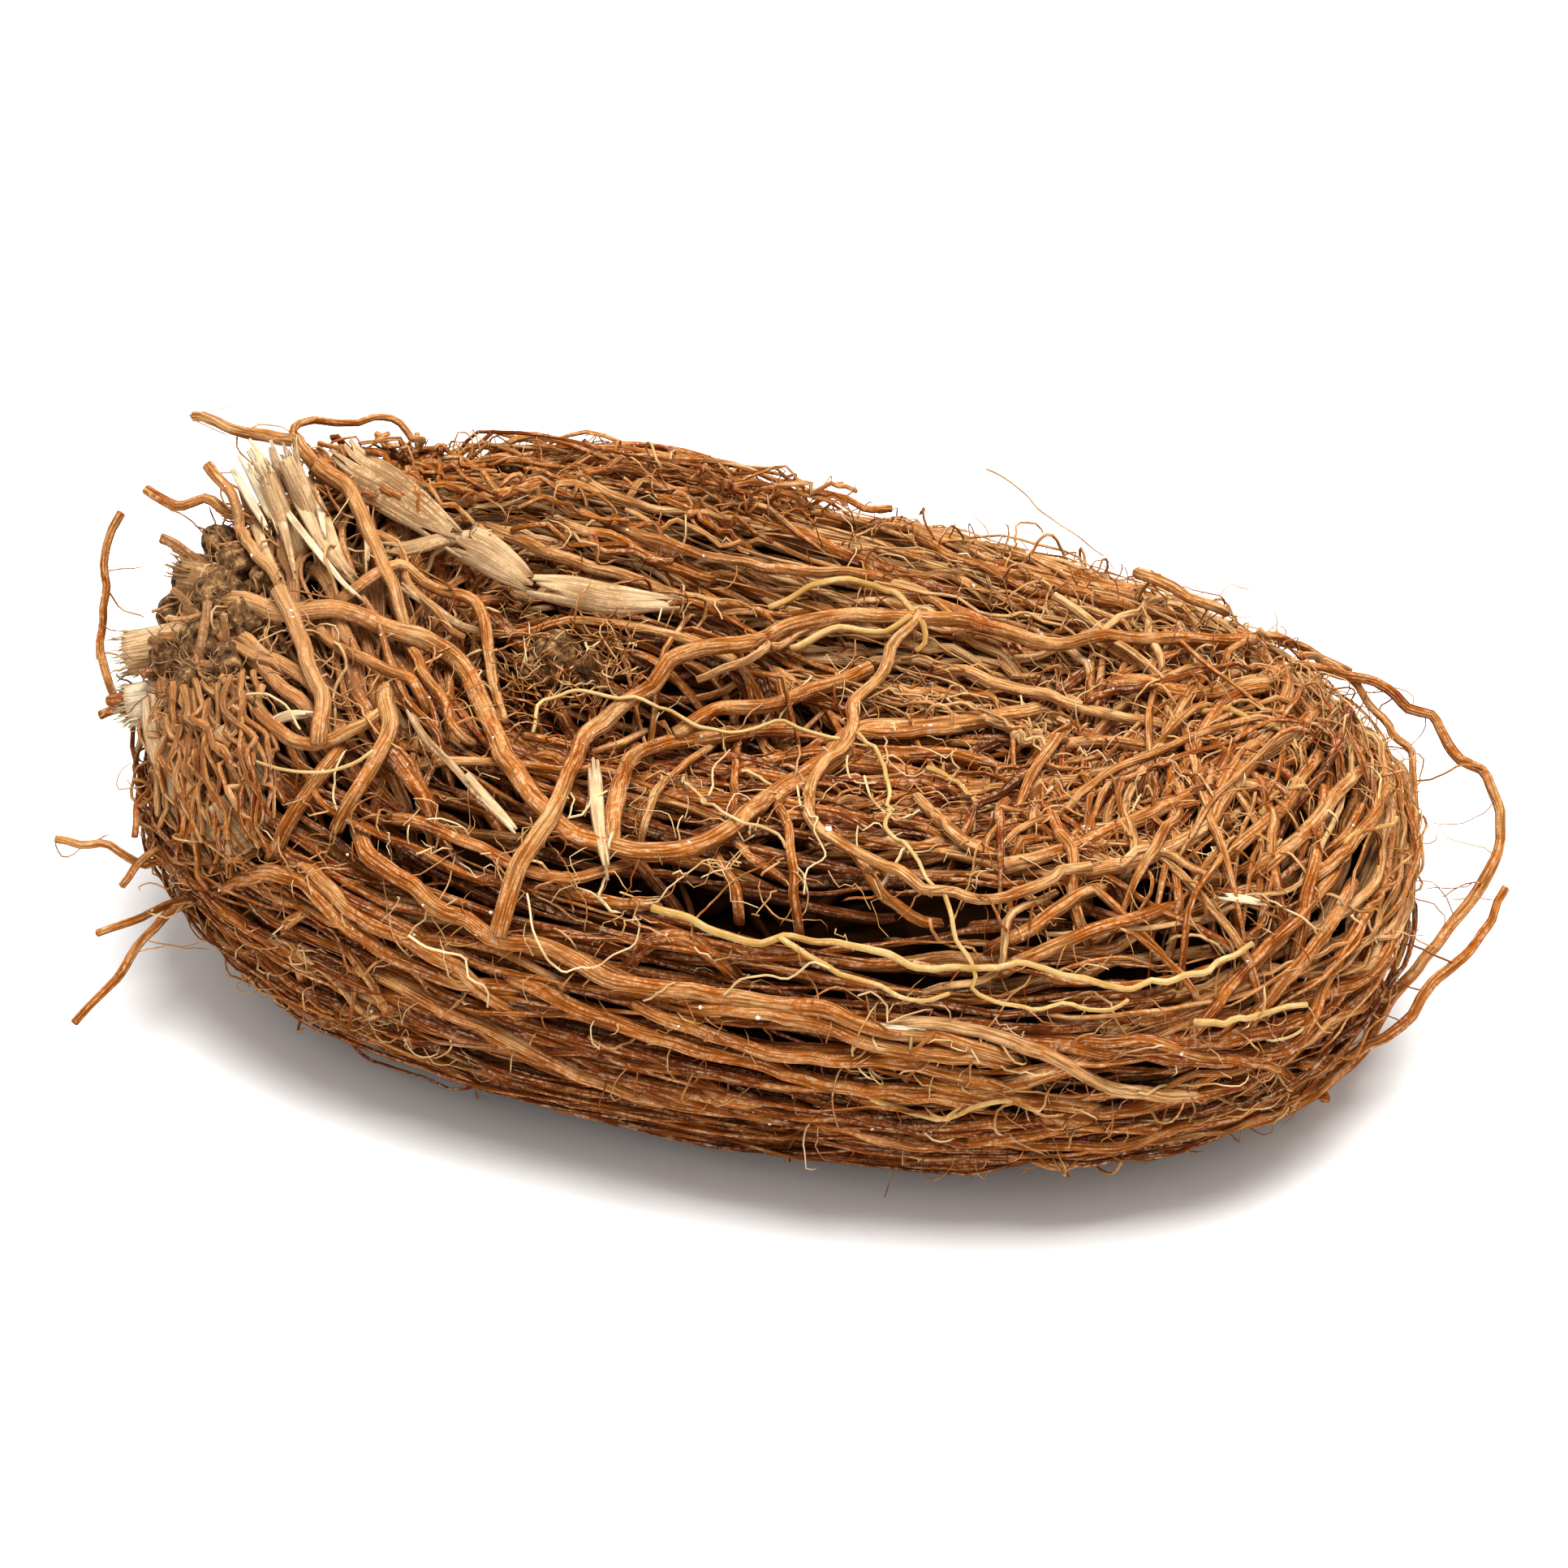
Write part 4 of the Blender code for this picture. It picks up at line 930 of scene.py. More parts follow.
    (2.1, 1.9, 1, 0.52, [(150, 106.4), (154, 103), (158, 99.5), (160, 96), (162, 93)]),
    (2.1, 1.9, 1, 0.56, [(154, 108), (158, 105), (162, 101), (165, 97.2), (167.6, 95)]),
    (2, 1.8, 0.9, 0.48, [(160, 109), (164, 106), (168, 102), (170, 98), (170.8, 95)]),
    (1.5, 1.4, 1.2, 0.34, [(90.3, 100), (90.6, 96.5), (90.9, 93), (90.5, 90)]),
    (1.7, 1.5, 1.4, 0.36, [(98.8, 115.4), (98.2, 111), (97.6, 106.5), (96.9, 102), (96, 98.2)]),
    (1.6, 1.4, 0.8, 0.4, [(90.8, 113.6), (90.2, 110), (89.4, 107.6), (88, 105.2)]),
    (1.1, 1, 1.2, 0.42, [(90.4, 103.4), (92.6, 105.6), (94.6, 107.6), (96.6, 109.2)]),
    (2.1, 2, 0.8, 0.3, [(88, 96.6), (92, 95), (96.5, 93), (101, 92.5), (106, 93), (111, 93.2),
        (116, 92.8), (120, 93.5), (125, 94.6)]),
    (1.3, 1.1, 2, 0.6, [(78.8, 104), (80, 100), (81.2, 97.5), (83, 95.5), (85, 94), (87.4, 92.6),
        (88.6, 91.4)]),
    (1.3, 1.2, 1.6, 0.58, [(64.8, 90.4), (69, 91.6), (72, 93), (74, 92.6), (77, 91.5), (79.6, 90.4)]),
    (1.9, 1.7, 1.4, 0.66, [(111, 96), (113, 98), (115, 100), (117, 102.5), (120, 104.5), (123.5, 106)]),
    (1.8, 1.6, 0.9, 0.44, [(105.5, 106), (107.5, 108.5), (109, 110.6), (111, 112), (113.5, 113.6),
        (115.6, 114)]),
    (1.5, 1.3, 1, 0.5, [(56, 62.5), (60, 61), (65, 59.7), (69, 59.2)]),
    (1.4, 1.2, 1.2, 0.78, [(71.5, 58.6), (73, 60), (76, 61.5), (79, 62.5), (83, 63), (87, 63.5),
        (92, 64.2)]),
    (1.9, 1.7, 1.2, 0.52, [(60, 65.2), (64, 66.5), (67, 68), (70, 69), (74, 70.2), (79, 71.5), (83, 73),
        (87, 74), (92, 74.5)]),
    (1.6, 1.4, 1.2, 0.56, [(75, 64.2), (80, 66), (85, 68), (90, 69), (95, 70), (100, 70.5), (106, 70.8),
        (110, 71.6)]),
    (1.6, 1.4, 1, 0.5, [(68, 64.2), (72, 65), (76, 66.5), (80, 69), (84, 70.5), (88, 71.2)]),
    (1.7, 1.5, 1, 0.44, [(139.6, 70.2), (143, 71.6), (146, 73.4), (149, 74.6), (151, 75.6)]),
    (1.5, 1.4, 0.9, 0.5, [(113, 66), (118, 68.4), (123, 70.6), (127, 72.4), (131, 73.6)]),
    (1.6, 1.5, 1, 0.46, [(120, 69.8), (126, 71), (133, 73), (140, 74.4), (146, 76)]),
]
STRAY_ROOTS = [
    (2.4, 1.5, 0.8, 0.46, [(128.4, 137.6), (135.4, 138.4, 8), (141, 138.7, 7), (146.1, 139.5, 7),
        (151, 138.8, 7), (156.4, 137.6, 7), (160.8, 135.4, 8), (164.8, 132, 9), (168.2, 128.6, 10),
        (171.8, 122.7, 12), (175.8, 118, 14), (178.8, 113.3, 16), (182.6, 109, 18), (184.9, 104.9, 20),
        (185.2, 101, 22), (184.2, 97.9, 24), (182.6, 95, 25), (180.2, 93.7, 26), (178, 91, 27),
        (176, 88.4, 29), (173, 87.6, 30), (171, 85.2, 31), (169.5, 84.2, 32), (166, 83.2, 33),
        (160, 82)]),
    (1.8, 1.3, 0, 0.42, [(160, 131), (164, 131, 10), (167.7, 129.2, 11), (170.6, 127.4, 12),
        (173.7, 124.9, 13), (175.6, 121.6, 14), (179.8, 118.6, 16), (182.6, 115, 18),
        (185.6, 109.4, 20)]),
    (1.2, 1, 0.6, 0.6, [(160, 80.5), (163, 81.5, 33), (166.5, 83.5, 32), (167.6, 85.6, 31),
        (170, 88.4, 29), (171.4, 90.2, 28), (173.4, 92, 27), (174.2, 94, 26), (174.2, 98, 24),
        (174.8, 101, 22), (173.6, 104.6, 21), (171.4, 108.6, 19), (168, 112.6)]),
    (1.5, 1.3, 0.5, 0.46, [(32, 105.4), (29, 106), (25, 106), (21.4, 105.8, 19), (18, 106.6, 20),
        (15.6, 105.4, 21), (13.8, 104.3, 21), (10.4, 104.2, 21.5), (7.1, 103.6, 22)]),
    (1.5, 1.3, 0.5, 0.5, [(30, 102), (24.1, 102.9), (21.4, 104, 22), (19.6, 104.8, 22), (17, 107, 21),
        (14.7, 109.5, 20)]),
    (1.9, 1.3, 0.5, 0.4, [(36.8, 107.4), (30.8, 108.4), (28, 109.4), (24.8, 110.6, 16), (21.4, 112.4, 16),
        (18.8, 114.6, 15), (16.6, 116.8, 14), (14.7, 119.9, 13), (12.4, 122.4, 12), (9.2, 126.2, 11)]),
    (1.5, 1.2, 0.3, 0.42, [(28, 109), (24, 110.2, 16), (20, 111.6, 16), (17.4, 113.4, 15),
        (12.3, 115.4, 15)]),
    (1.2, 1, 0.3, 0.42, [(20.4, 94), (18.4, 96.4, 28), (16.6, 99.4, 27), (16.4, 103.2, 26)]),
    (1.4, 1.2, 0.3, 0.46, [(15.4, 63, 50), (13.4, 66, 47), (12.2, 69.6, 44), (12.8, 73.6, 41),
        (12.3, 77.7, 38), (12.6, 81.7, 35), (13.6, 85.4, 33), (15.4, 88, 31), (18.7, 89.4, 29),
        (22, 91, 28)]),
    (1.7, 1.5, 0.5, 0.36, [(33, 66), (30, 63.6, 53), (28.1, 63.3, 54), (25, 61.6, 54), (22.3, 62.2, 54),
        (19.8, 61.6, 53), (17.9, 60.4, 53)]),
    (1.3, 1.1, 0.5, 0.4, [(72, 58.5), (74.5, 58, 52), (77, 57.6, 52), (79, 58.2, 51), (81, 59.4, 51),
        (83, 60.1, 51), (86, 60.3, 50), (90, 59.8, 50), (92, 59.6, 50), (95, 60.3, 50), (98.3, 60.9, 49),
        (101, 60.8, 49), (104, 61.6, 48), (106, 62.5, 48), (109.4, 62.7, 47)]),
    (1.6, 1.5, 0.5, 0.5, [(38, 112), (35, 114.4), (36.2, 117, 12), (37, 120, 11), (38.4, 122.8, 10),
        (40, 124, 9), (43, 124.4, 8), (47, 124.6)]),
    (1.6, 1.4, 0.5, 0.72, [(34.6, 115), (38, 118.4, 12), (42, 121.4, 9), (45, 124.4, 8), (48, 126, 7),
        (51, 128.8, 5)]),
    (1.5, 1.4, 0.5, 0.46, [(43, 117.4), (46.5, 121.4), (48.2, 125, 8), (50.8, 129, 5)]),
    (1.3, 1.1, 0.5, 0.46, [(36.2, 55, 60), (36.4, 52.8, 60), (38.4, 51.6, 59), (41, 51.9, 58),
        (44, 52.2, 57), (47, 51.3, 56), (49.4, 52.2, 55), (50.8, 54.4, 54)]),
    (1.3, 1.1, 0.4, 0.44, [(155, 77.6), (160, 79.4, 35), (164, 82, 33), (166.4, 83, 32)]),
]


def at_height(across, down, height):
    """Where the line of sight meets the level plane at that height."""
    place = np.array([across]), np.array([down])
    start = seen_points(*place, np.zeros(1))[0]
    step = seen_points(*place, np.full(1, MM))[0] - start
    return start + step * (height - start[2]) / step[2]


def smooth_route(points, step):
    """A smooth curve through the points, read about every step."""
    ends = [points[0] * 2 - points[1], *points, points[-1] * 2 - points[-2]]
    route = [points[0]]
    for before, start, end, after in zip(ends, ends[1:], ends[2:], ends[3:]):
        pieces = max(1, round(np.linalg.norm(end - start) / step))
        for share in np.arange(1, pieces + 1) / pieces:
            curve = 2 * start + (end - before) * share
            curve = curve + (2 * before - 5 * start + 4 * end - after) * share**2
            curve = curve + (3 * start - before - 3 * end + after) * share**3
            route.append(0.5 * curve)
    return np.array(route)


def laid_route(places, lift, step, sink=0):
    """A route in space from its places on the drawing: on the nest and lifted off it, or at a height.

    Ends that the sink is given for go down between the other roots.
    """
    across = np.array([place[0] for place in places])
    down = np.array([place[1] for place in places])
    on_nest = nearness_of_nest(across, down)
    points = seen_points(across, down, np.where(on_nest > NOWHERE, on_nest, 0) + lift * MM)
    for index, place in enumerate(places):
        if len(place) == 3:
            points[index] = at_height(place[0], place[1], place[2] * MM)
    route = smooth_route(points, step)
    across, down, nearer = drawn_places(route)
    nearer = np.maximum(nearer, nearness_of_nest(across, down) + lift * MM)
    padded = np.pad(nearer, 3, mode="edge")
    nearer = sum(padded[shift : shift + len(nearer)] for shift in range(7)) / 7
    from_end = np.minimum(np.arange(len(nearer)), np.arange(len(nearer))[::-1]) * step
    nearer -= sink * MM * np.maximum(0, 1 - from_end / SINKING_LENGTH) ** 2
    route = seen_points(across, down, nearer)
    route[:, 2] = np.maximum(route[:, 2], LOWEST_MIDDLE)
    return route


def loose_root(draw, row, step=LAID_STEP, sink=0):
    """A root along a drawn route, from its row of sizes, with small kinks of its own."""
    start, end, lift, shade, places = row
    route = laid_route(places, lift, step, sink)
    kinks = (LAID_KINKS / max(1, start), LAID_KINK_SPACING)
    route = wavered(draw, route, step, [LAID_WAVE, kinks])
    radii = np.linspace(start, end, len(route)) / 2 * LAID_SIZE * MM
    radii *= 1 + 0.09 * soft_noise(draw, len(route), step, 5 * MM, 1)[:, 0]
    return *blunted(route, radii), shade + LAID_PALER


def laid_root(draw, row):
    """A root whose ends go down between the others, where it doesn't lie loose on top of them."""
    size, lift = row[0], row[2]
    return loose_root(draw, row, sink=0 if lift > LOOSE_LIFT else lift + 1.3 * size)


laid_roots = [laid_root(draw, row) for row in LAID_ROOTS]
root_piece(draw, "laid_roots", laid_roots, 4, 0.16, root_bark)
stray_roots = [loose_root(draw, row) for row in STRAY_ROOTS]
root_piece(draw, "stray_roots", stray_roots, 2, 0.14, root_bark)

# Rootlets
# Every root carries fine curly side roots, 0.2 to 0.6 mm thick and cream to tan, broken off short by the
# drying. They start in the bark of a root near the surface and creep over its neighbours. A row is the
# number, the curl, the fewest and most steps, how far they stand off, and the sizes.
ROOTLET_STEP = 1.0 * MM
ROOTLET_STEPS = 22
ROOTLETS = [
    ("fine_rootlets", 2300, 0.34, 5, 12, 1.0, 0.18, 0.36),
    ("long_rootlets", 500, 0.18, 11, 20, 1.1, 0.3, 0.6),
]
CARRIER_DEPTH = 3.5 * MM
OVER_HOLLOW = 0.45
HOLLOW_KEPT = 0.3
START_SCATTER = 0.7
STEP_SCATTER = 0.24
CURL_KEPT = 0.75
PULL = 0.7
LOWEST_ROOTLET = 0.4 * MM
ROOTLET_BROWN = "9C6029"
ROOTLET_TAN = "BF8D52"
ROOTLET_CREAM = "E3C896"


def units(ways):
    """The ways, each made one long."""
    return ways / np.linalg.norm(ways, axis=1, keepdims=True)


def outward_ways(places):
    """The way straight out of the nest's surface."""
    slopes = [standing_out(places + MM * axis) - standing_out(places - MM * axis) for axis in np.eye(3)]
    ways = np.stack(slopes, axis=-1)
    return ways / np.maximum(np.linalg.norm(ways, axis=-1, keepdims=True), 1e-9)


def creeping_routes(draw, number, curl, shortest, longest, clearance):
    """Rootlets' routes: each starts in a root near the surface and wanders over the nest."""
    carriers = strand["outer_roots"] + crossing_roots + laid_roots + laid_roots + stray_roots
    points = np.concatenate([route[1:-1] for route, radii, shade in carriers])
    ways = np.concatenate([route[2:] - route[:-2] for route, radii, shade in carriers])
    wanted = section_place(points)[0] >= OVER_HOLLOW
    wanted |= draw.uniform(0, 1, len(points)) < HOLLOW_KEPT
    wanted &= standing_out(points) > -CARRIER_DEPTH
    points = points[wanted]
    ways = ways[wanted]
    chosen = draw.randint(0, len(points), number)
    place = points[chosen]
    way = units(ways[chosen]) * draw.choice([-1, 1], (number, 1))
    way = way + draw.normal(0, START_SCATTER, (number, 3))
    way += outward_ways(place) * draw.uniform(0, 0.6, (number, 1))
    bend = draw.normal(0, curl, (number, 3))
    height = draw.uniform(0.2, clearance, number) * MM
    steps = [place]
    for _ in range(ROOTLET_STEPS):
        bend = CURL_KEPT * bend + draw.normal(0, curl, (number, 3)) * 0.66
        pull = np.clip((height - standing_out(place)) / (2 * MM), -1, 1)[:, None]
        way = units(way) + bend + PULL * pull * outward_ways(place)
        way += draw.normal(0, STEP_SCATTER, way.shape)
        place = place + units(way) * ROOTLET_STEP
        place[:, 2] = np.maximum(place[:, 2], LOWEST_ROOTLET)
        steps.append(place)
    routes = np.stack(steps, axis=1)
    return [routes[index, : draw.randint(shortest, longest + 1)] for index in range(number)]


def rootlet(draw, route, thin, thick):
    """A rootlet along its route, thinner towards its tip."""
    radii = np.linspace(1, draw.uniform(0.35, 0.8), len(route)) * draw.uniform(thin, thick) / 2 * MM
    radii[[0, -1]] = 0
    return route, radii, np.clip(draw.normal(0.42, 0.26), 0, 1)


rootlet_skin = bark_material(
    "rootlet_skin", [BARK_RED, ROOTLET_BROWN, ROOTLET_TAN, ROOTLET_CREAM], 0.3, 0.08 * MM
)
for name, number, curl, shortest, longest, clearance, thin, thick in ROOTLETS:
    routes = creeping_routes(draw, number, curl, shortest, longest, clearance)
    rootlets = [rootlet(draw, route, thin, thick) for route in routes]
    root_piece(draw, name, rootlets, TRIANGLE, 0.1, rootlet_skin)

# Crown knots
# The crown is the woody rhizome that culms and roots grow from: round dark knots, grey-brown, rough and
# dirty, with stubs of old roots and shaggy brown fibre between them. Three more lie in the hollow, broken
# off. A row is the place on the drawing, the radius and the lift off the nest.
CROWN_KNOTS = [
    (27.2, 73.6, 3.3, 1.2),
    (24.4, 71.6, 3.0, 0.4),
    (29.2, 69.6, 2.6, 1.2),
    (22.4, 76.4, 3.2, 0.6),
    (25.4, 78.8, 3.2, 1.4),
    (21.6, 81.4, 3.0, 0.4),
    (30.4, 76.4, 2.6, 0.8),
    (24.6, 84.0, 2.8, 0.2),
    (28.6, 81.4, 2.8, 0.6),
    (27.0, 66.8, 2.2, -0.4),
    (33.0, 71.4, 2.2, 0.4),
    (68.4, 81.4, 3.4, -0.8),
    (72.2, 82.4, 2.4, -1.2),
    (65.4, 82.8, 2.0, -1.4),
]
KNOT_DARK = "2A1A0D"
KNOT_BROWN = "74512F"
KNOT_CREAM = "C79E6A"
GRIME_SCALE = 900
KNOT_SINK = 0.4
SHAGGY_AREA = ((18.0, 29.0), (67.5, 86.5))
SHAGGY_FIBRES = 300
HOLLOW_AREA = ((62.0, 78.0), (78.0, 88.0))
HOLLOW_FIBRES = 170
FIBRE_SIZES = (0.2, 0.45)
FIBRE_STEPS = 11
STUB_ROOTS = 44
STUB_SIZES = (0.6, 1.9)


def add_crown_knot(cage, across, down, radius, lift):
    """Adds a woody knot with an uneven form and a pitted surface."""
    middle = laid_route([(across, down), (across + 0.5, down)], lift - radius * KNOT_SINK, MM)[0]
    knot = bmesh.ops.create_uvsphere(cage, u_segments=40, v_segments=28, radius=radius * MM)["verts"]
    for vertex in knot:
        way = vertex.co.normalized()
        lumps = 0.3 * noise.noise(way * 1.6 + Vector((across, down, 0)))
        pits = 0.07 * noise.noise(way * 5 + Vector((down, across, 0))) + 0.05 * noise.noise(way * 15)
        vertex.co *= 1 + lumps + pits
    bmesh.ops.translate(cage, verts=knot, vec=Vector(middle))


knot_wood, tree, shader, grime = mottled_material(
    "dirty_rhizome_wood",
    0.9,
    0.15,
    {"Scale": GRIME_SCALE, "Detail": 6, "Roughness": 0.65},
    [(KNOT_DARK, 0.38), (KNOT_BROWN, 0.55), (KNOT_CREAM, 0.72)],
)
bump = add_node(
    tree, "ShaderNodeBump", {"Strength": 0.9, "Distance": 0.4 * MM}, {"Height": grime.outputs["Fac"]}
)
tree.links.new(bump.outputs["Normal"], shader.inputs["Normal"])

cage = bmesh.new()
for row in CROWN_KNOTS:
    add_crown_knot(cage, *row)
finish_piece("crown_knots", mesh_from(cage, "crown_knots"), knot_wood)


def short_routes(draw, area, number, curl, spread):
    """Short fibres or stubs that start on the nest's surface in that area and stand out of it every way."""
    across, down = [draw.uniform(*limits, number) for limits in area]
    nearness = nearness_of_nest(across, down)
    hit = nearness > NOWHERE
    place = seen_points(across[hit], down[hit], nearness[hit] + draw.uniform(-0.5, 0.6, hit.sum()) * MM)
    way = outward_ways(place) * 0.5 + draw.normal(0, spread, place.shape)
    routes = [place]
    for _ in range(FIBRE_STEPS):
        way = units(way) + draw.normal(0, curl, place.shape)
        routes.append(routes[-1] + units(way) * MM)
    return list(np.stack(routes, axis=1))


crown_fibre = bark_material(
    "shaggy_crown_fibre", [KNOT_DARK, BARK_DARK, KNOT_BROWN, KNOT_CREAM], 0.4, 0.1 * MM
)
for name, area, number, material in (
    ("shaggy_fibres", SHAGGY_AREA, SHAGGY_FIBRES, crown_fibre),
    ("hollow_fibres", HOLLOW_AREA, HOLLOW_FIBRES, rootlet_skin),
):
    routes = short_routes(draw, area, number, 0.35, 0.8)
    shaggy = [rootlet(draw, route[: draw.randint(4, FIBRE_STEPS)], *FIBRE_SIZES) for route in routes]
    root_piece(draw, name, shaggy, TRIANGLE, 0.1, material)
stubs = []
for route in short_routes(draw, SHAGGY_AREA, STUB_ROOTS, 0.12, 0.7):
    route = route[: draw.randint(5, FIBRE_STEPS)]
    size = draw.uniform(*STUB_SIZES) * MM
    radii = np.linspace(size, size * 0.8, len(route)) / 2
    stubs.append((*blunted(route, radii), draw.uniform(0.05, 0.6)))
root_piece(draw, "stub_roots", stubs, 2, 0.14, root_bark)

# Culm bases and stubs
# The stems were cut off short above the crown. What is left is pith and fibre, straw to cream, split along
# its length, with cut ends that have frayed into stiff pale fibres. A row is the diameters, the lift, the
# shade, both ends on the drawing and the number of frayed fibres.
CULM_BROWN = "6E4A28"
CULM_STRAW = "AA855B"
CULM_PALE = "CBAA80"
CULM_CREAM = "EADBB9"
CULM_STEP = 1.2 * MM
CULMS = [
    ("culm_base_1", 6.0, 5.6, 0, 0.6, (31.0, 77.5, 39), (15.8, 80.5, 35), 60),
    ("culm_base_2", 5.6, 5.2, 0, 0.8, (30.0, 84.6, 33.5), (16.2, 87.0, 28.5), 90),
    ("culm_base_3", 5.0, 4.4, 0, 0.0, (33.0, 73.5, 47), (22.4, 70.9, 44.4), 34),
    ("culm_stub_1", 2.6, 2.4, 0, 0.5, (36.8, 69.0, 54.5), (33.0, 58.6, 57.5), 22),
    ("culm_stub_2", 2.8, 2.6, 0, 0.5, (41.8, 70.5, 53.5), (35.5, 56.5, 60), 26),
    ("culm_joint_1", 4.2, 3.8, 0.6, 0.3, (33.0, 97.0), (27.5, 89.6), 10),
    ("culm_joint_2", 4.0, 3.6, 0.6, 0.3, (31.6, 104.2), (27.0, 98.6), 10),
]
FRAYED_POINTS = 6
FRAYED_REACH = (1.5, 4.2)
FRAYED_SIZES = (0.16, 0.5)
FRAYED_START = 1.5 * MM


def frayed_fibre(draw, cut, along, culm_size, shade):
    """A stiff fibre that stands out of a cut end and leans away from its middle."""
    off_middle = np.cross(along, draw.normal(0, 1, 3))
    off_middle *= culm_size / 2 * MM * math.sqrt(draw.uniform(0.1, 1)) / np.linalg.norm(off_middle)
    outward = off_middle / (culm_size * MM) * draw.uniform(0.1, 0.7)
    reach = draw.uniform(*FRAYED_REACH) * MM
    shares = np.linspace(0, 1, FRAYED_POINTS)[:, None]
    route = cut + off_middle + along * (reach * shares - FRAYED_START) + outward * reach * shares**2
    route += draw.normal(0, 0.08, route.shape) * MM
    radii = np.linspace(1, 0.5, FRAYED_POINTS) * draw.uniform(*FRAYED_SIZES) / 2 * MM
    radii[[0, -1]] = 0
    return route, radii, shade + draw.uniform(-0.1, 0.3)


culm_straw = bark_material(
    "dry_culm_straw", [CULM_BROWN, CULM_STRAW, CULM_PALE, CULM_CREAM], 0.5, 0.3 * MM
)
fibres = []
for name, start_size, end_size, lift, shade, start, end, number in CULMS:
    ends = laid_route([start, end], lift, 1)
    route = smooth_route(ends[[0, -1]], CULM_STEP)
    along = route[-1] - route[-2]
    along /= np.linalg.norm(along)
    radii = np.linspace(start_size, end_size, len(route)) / 2 * MM
    radii *= 1 + 0.05 * soft_noise(draw, len(route), CULM_STEP, 4 * MM, 1)[:, 0]
    root_piece(draw, name, [(*blunted(route, radii), shade)], 6, 0.07, culm_straw, [name])
    fibres += [frayed_fibre(draw, ends[-1], along, end_size, shade) for _ in range(number)]
root_piece(draw, "frayed_fibres", fibres, 0, 0.2, culm_straw)

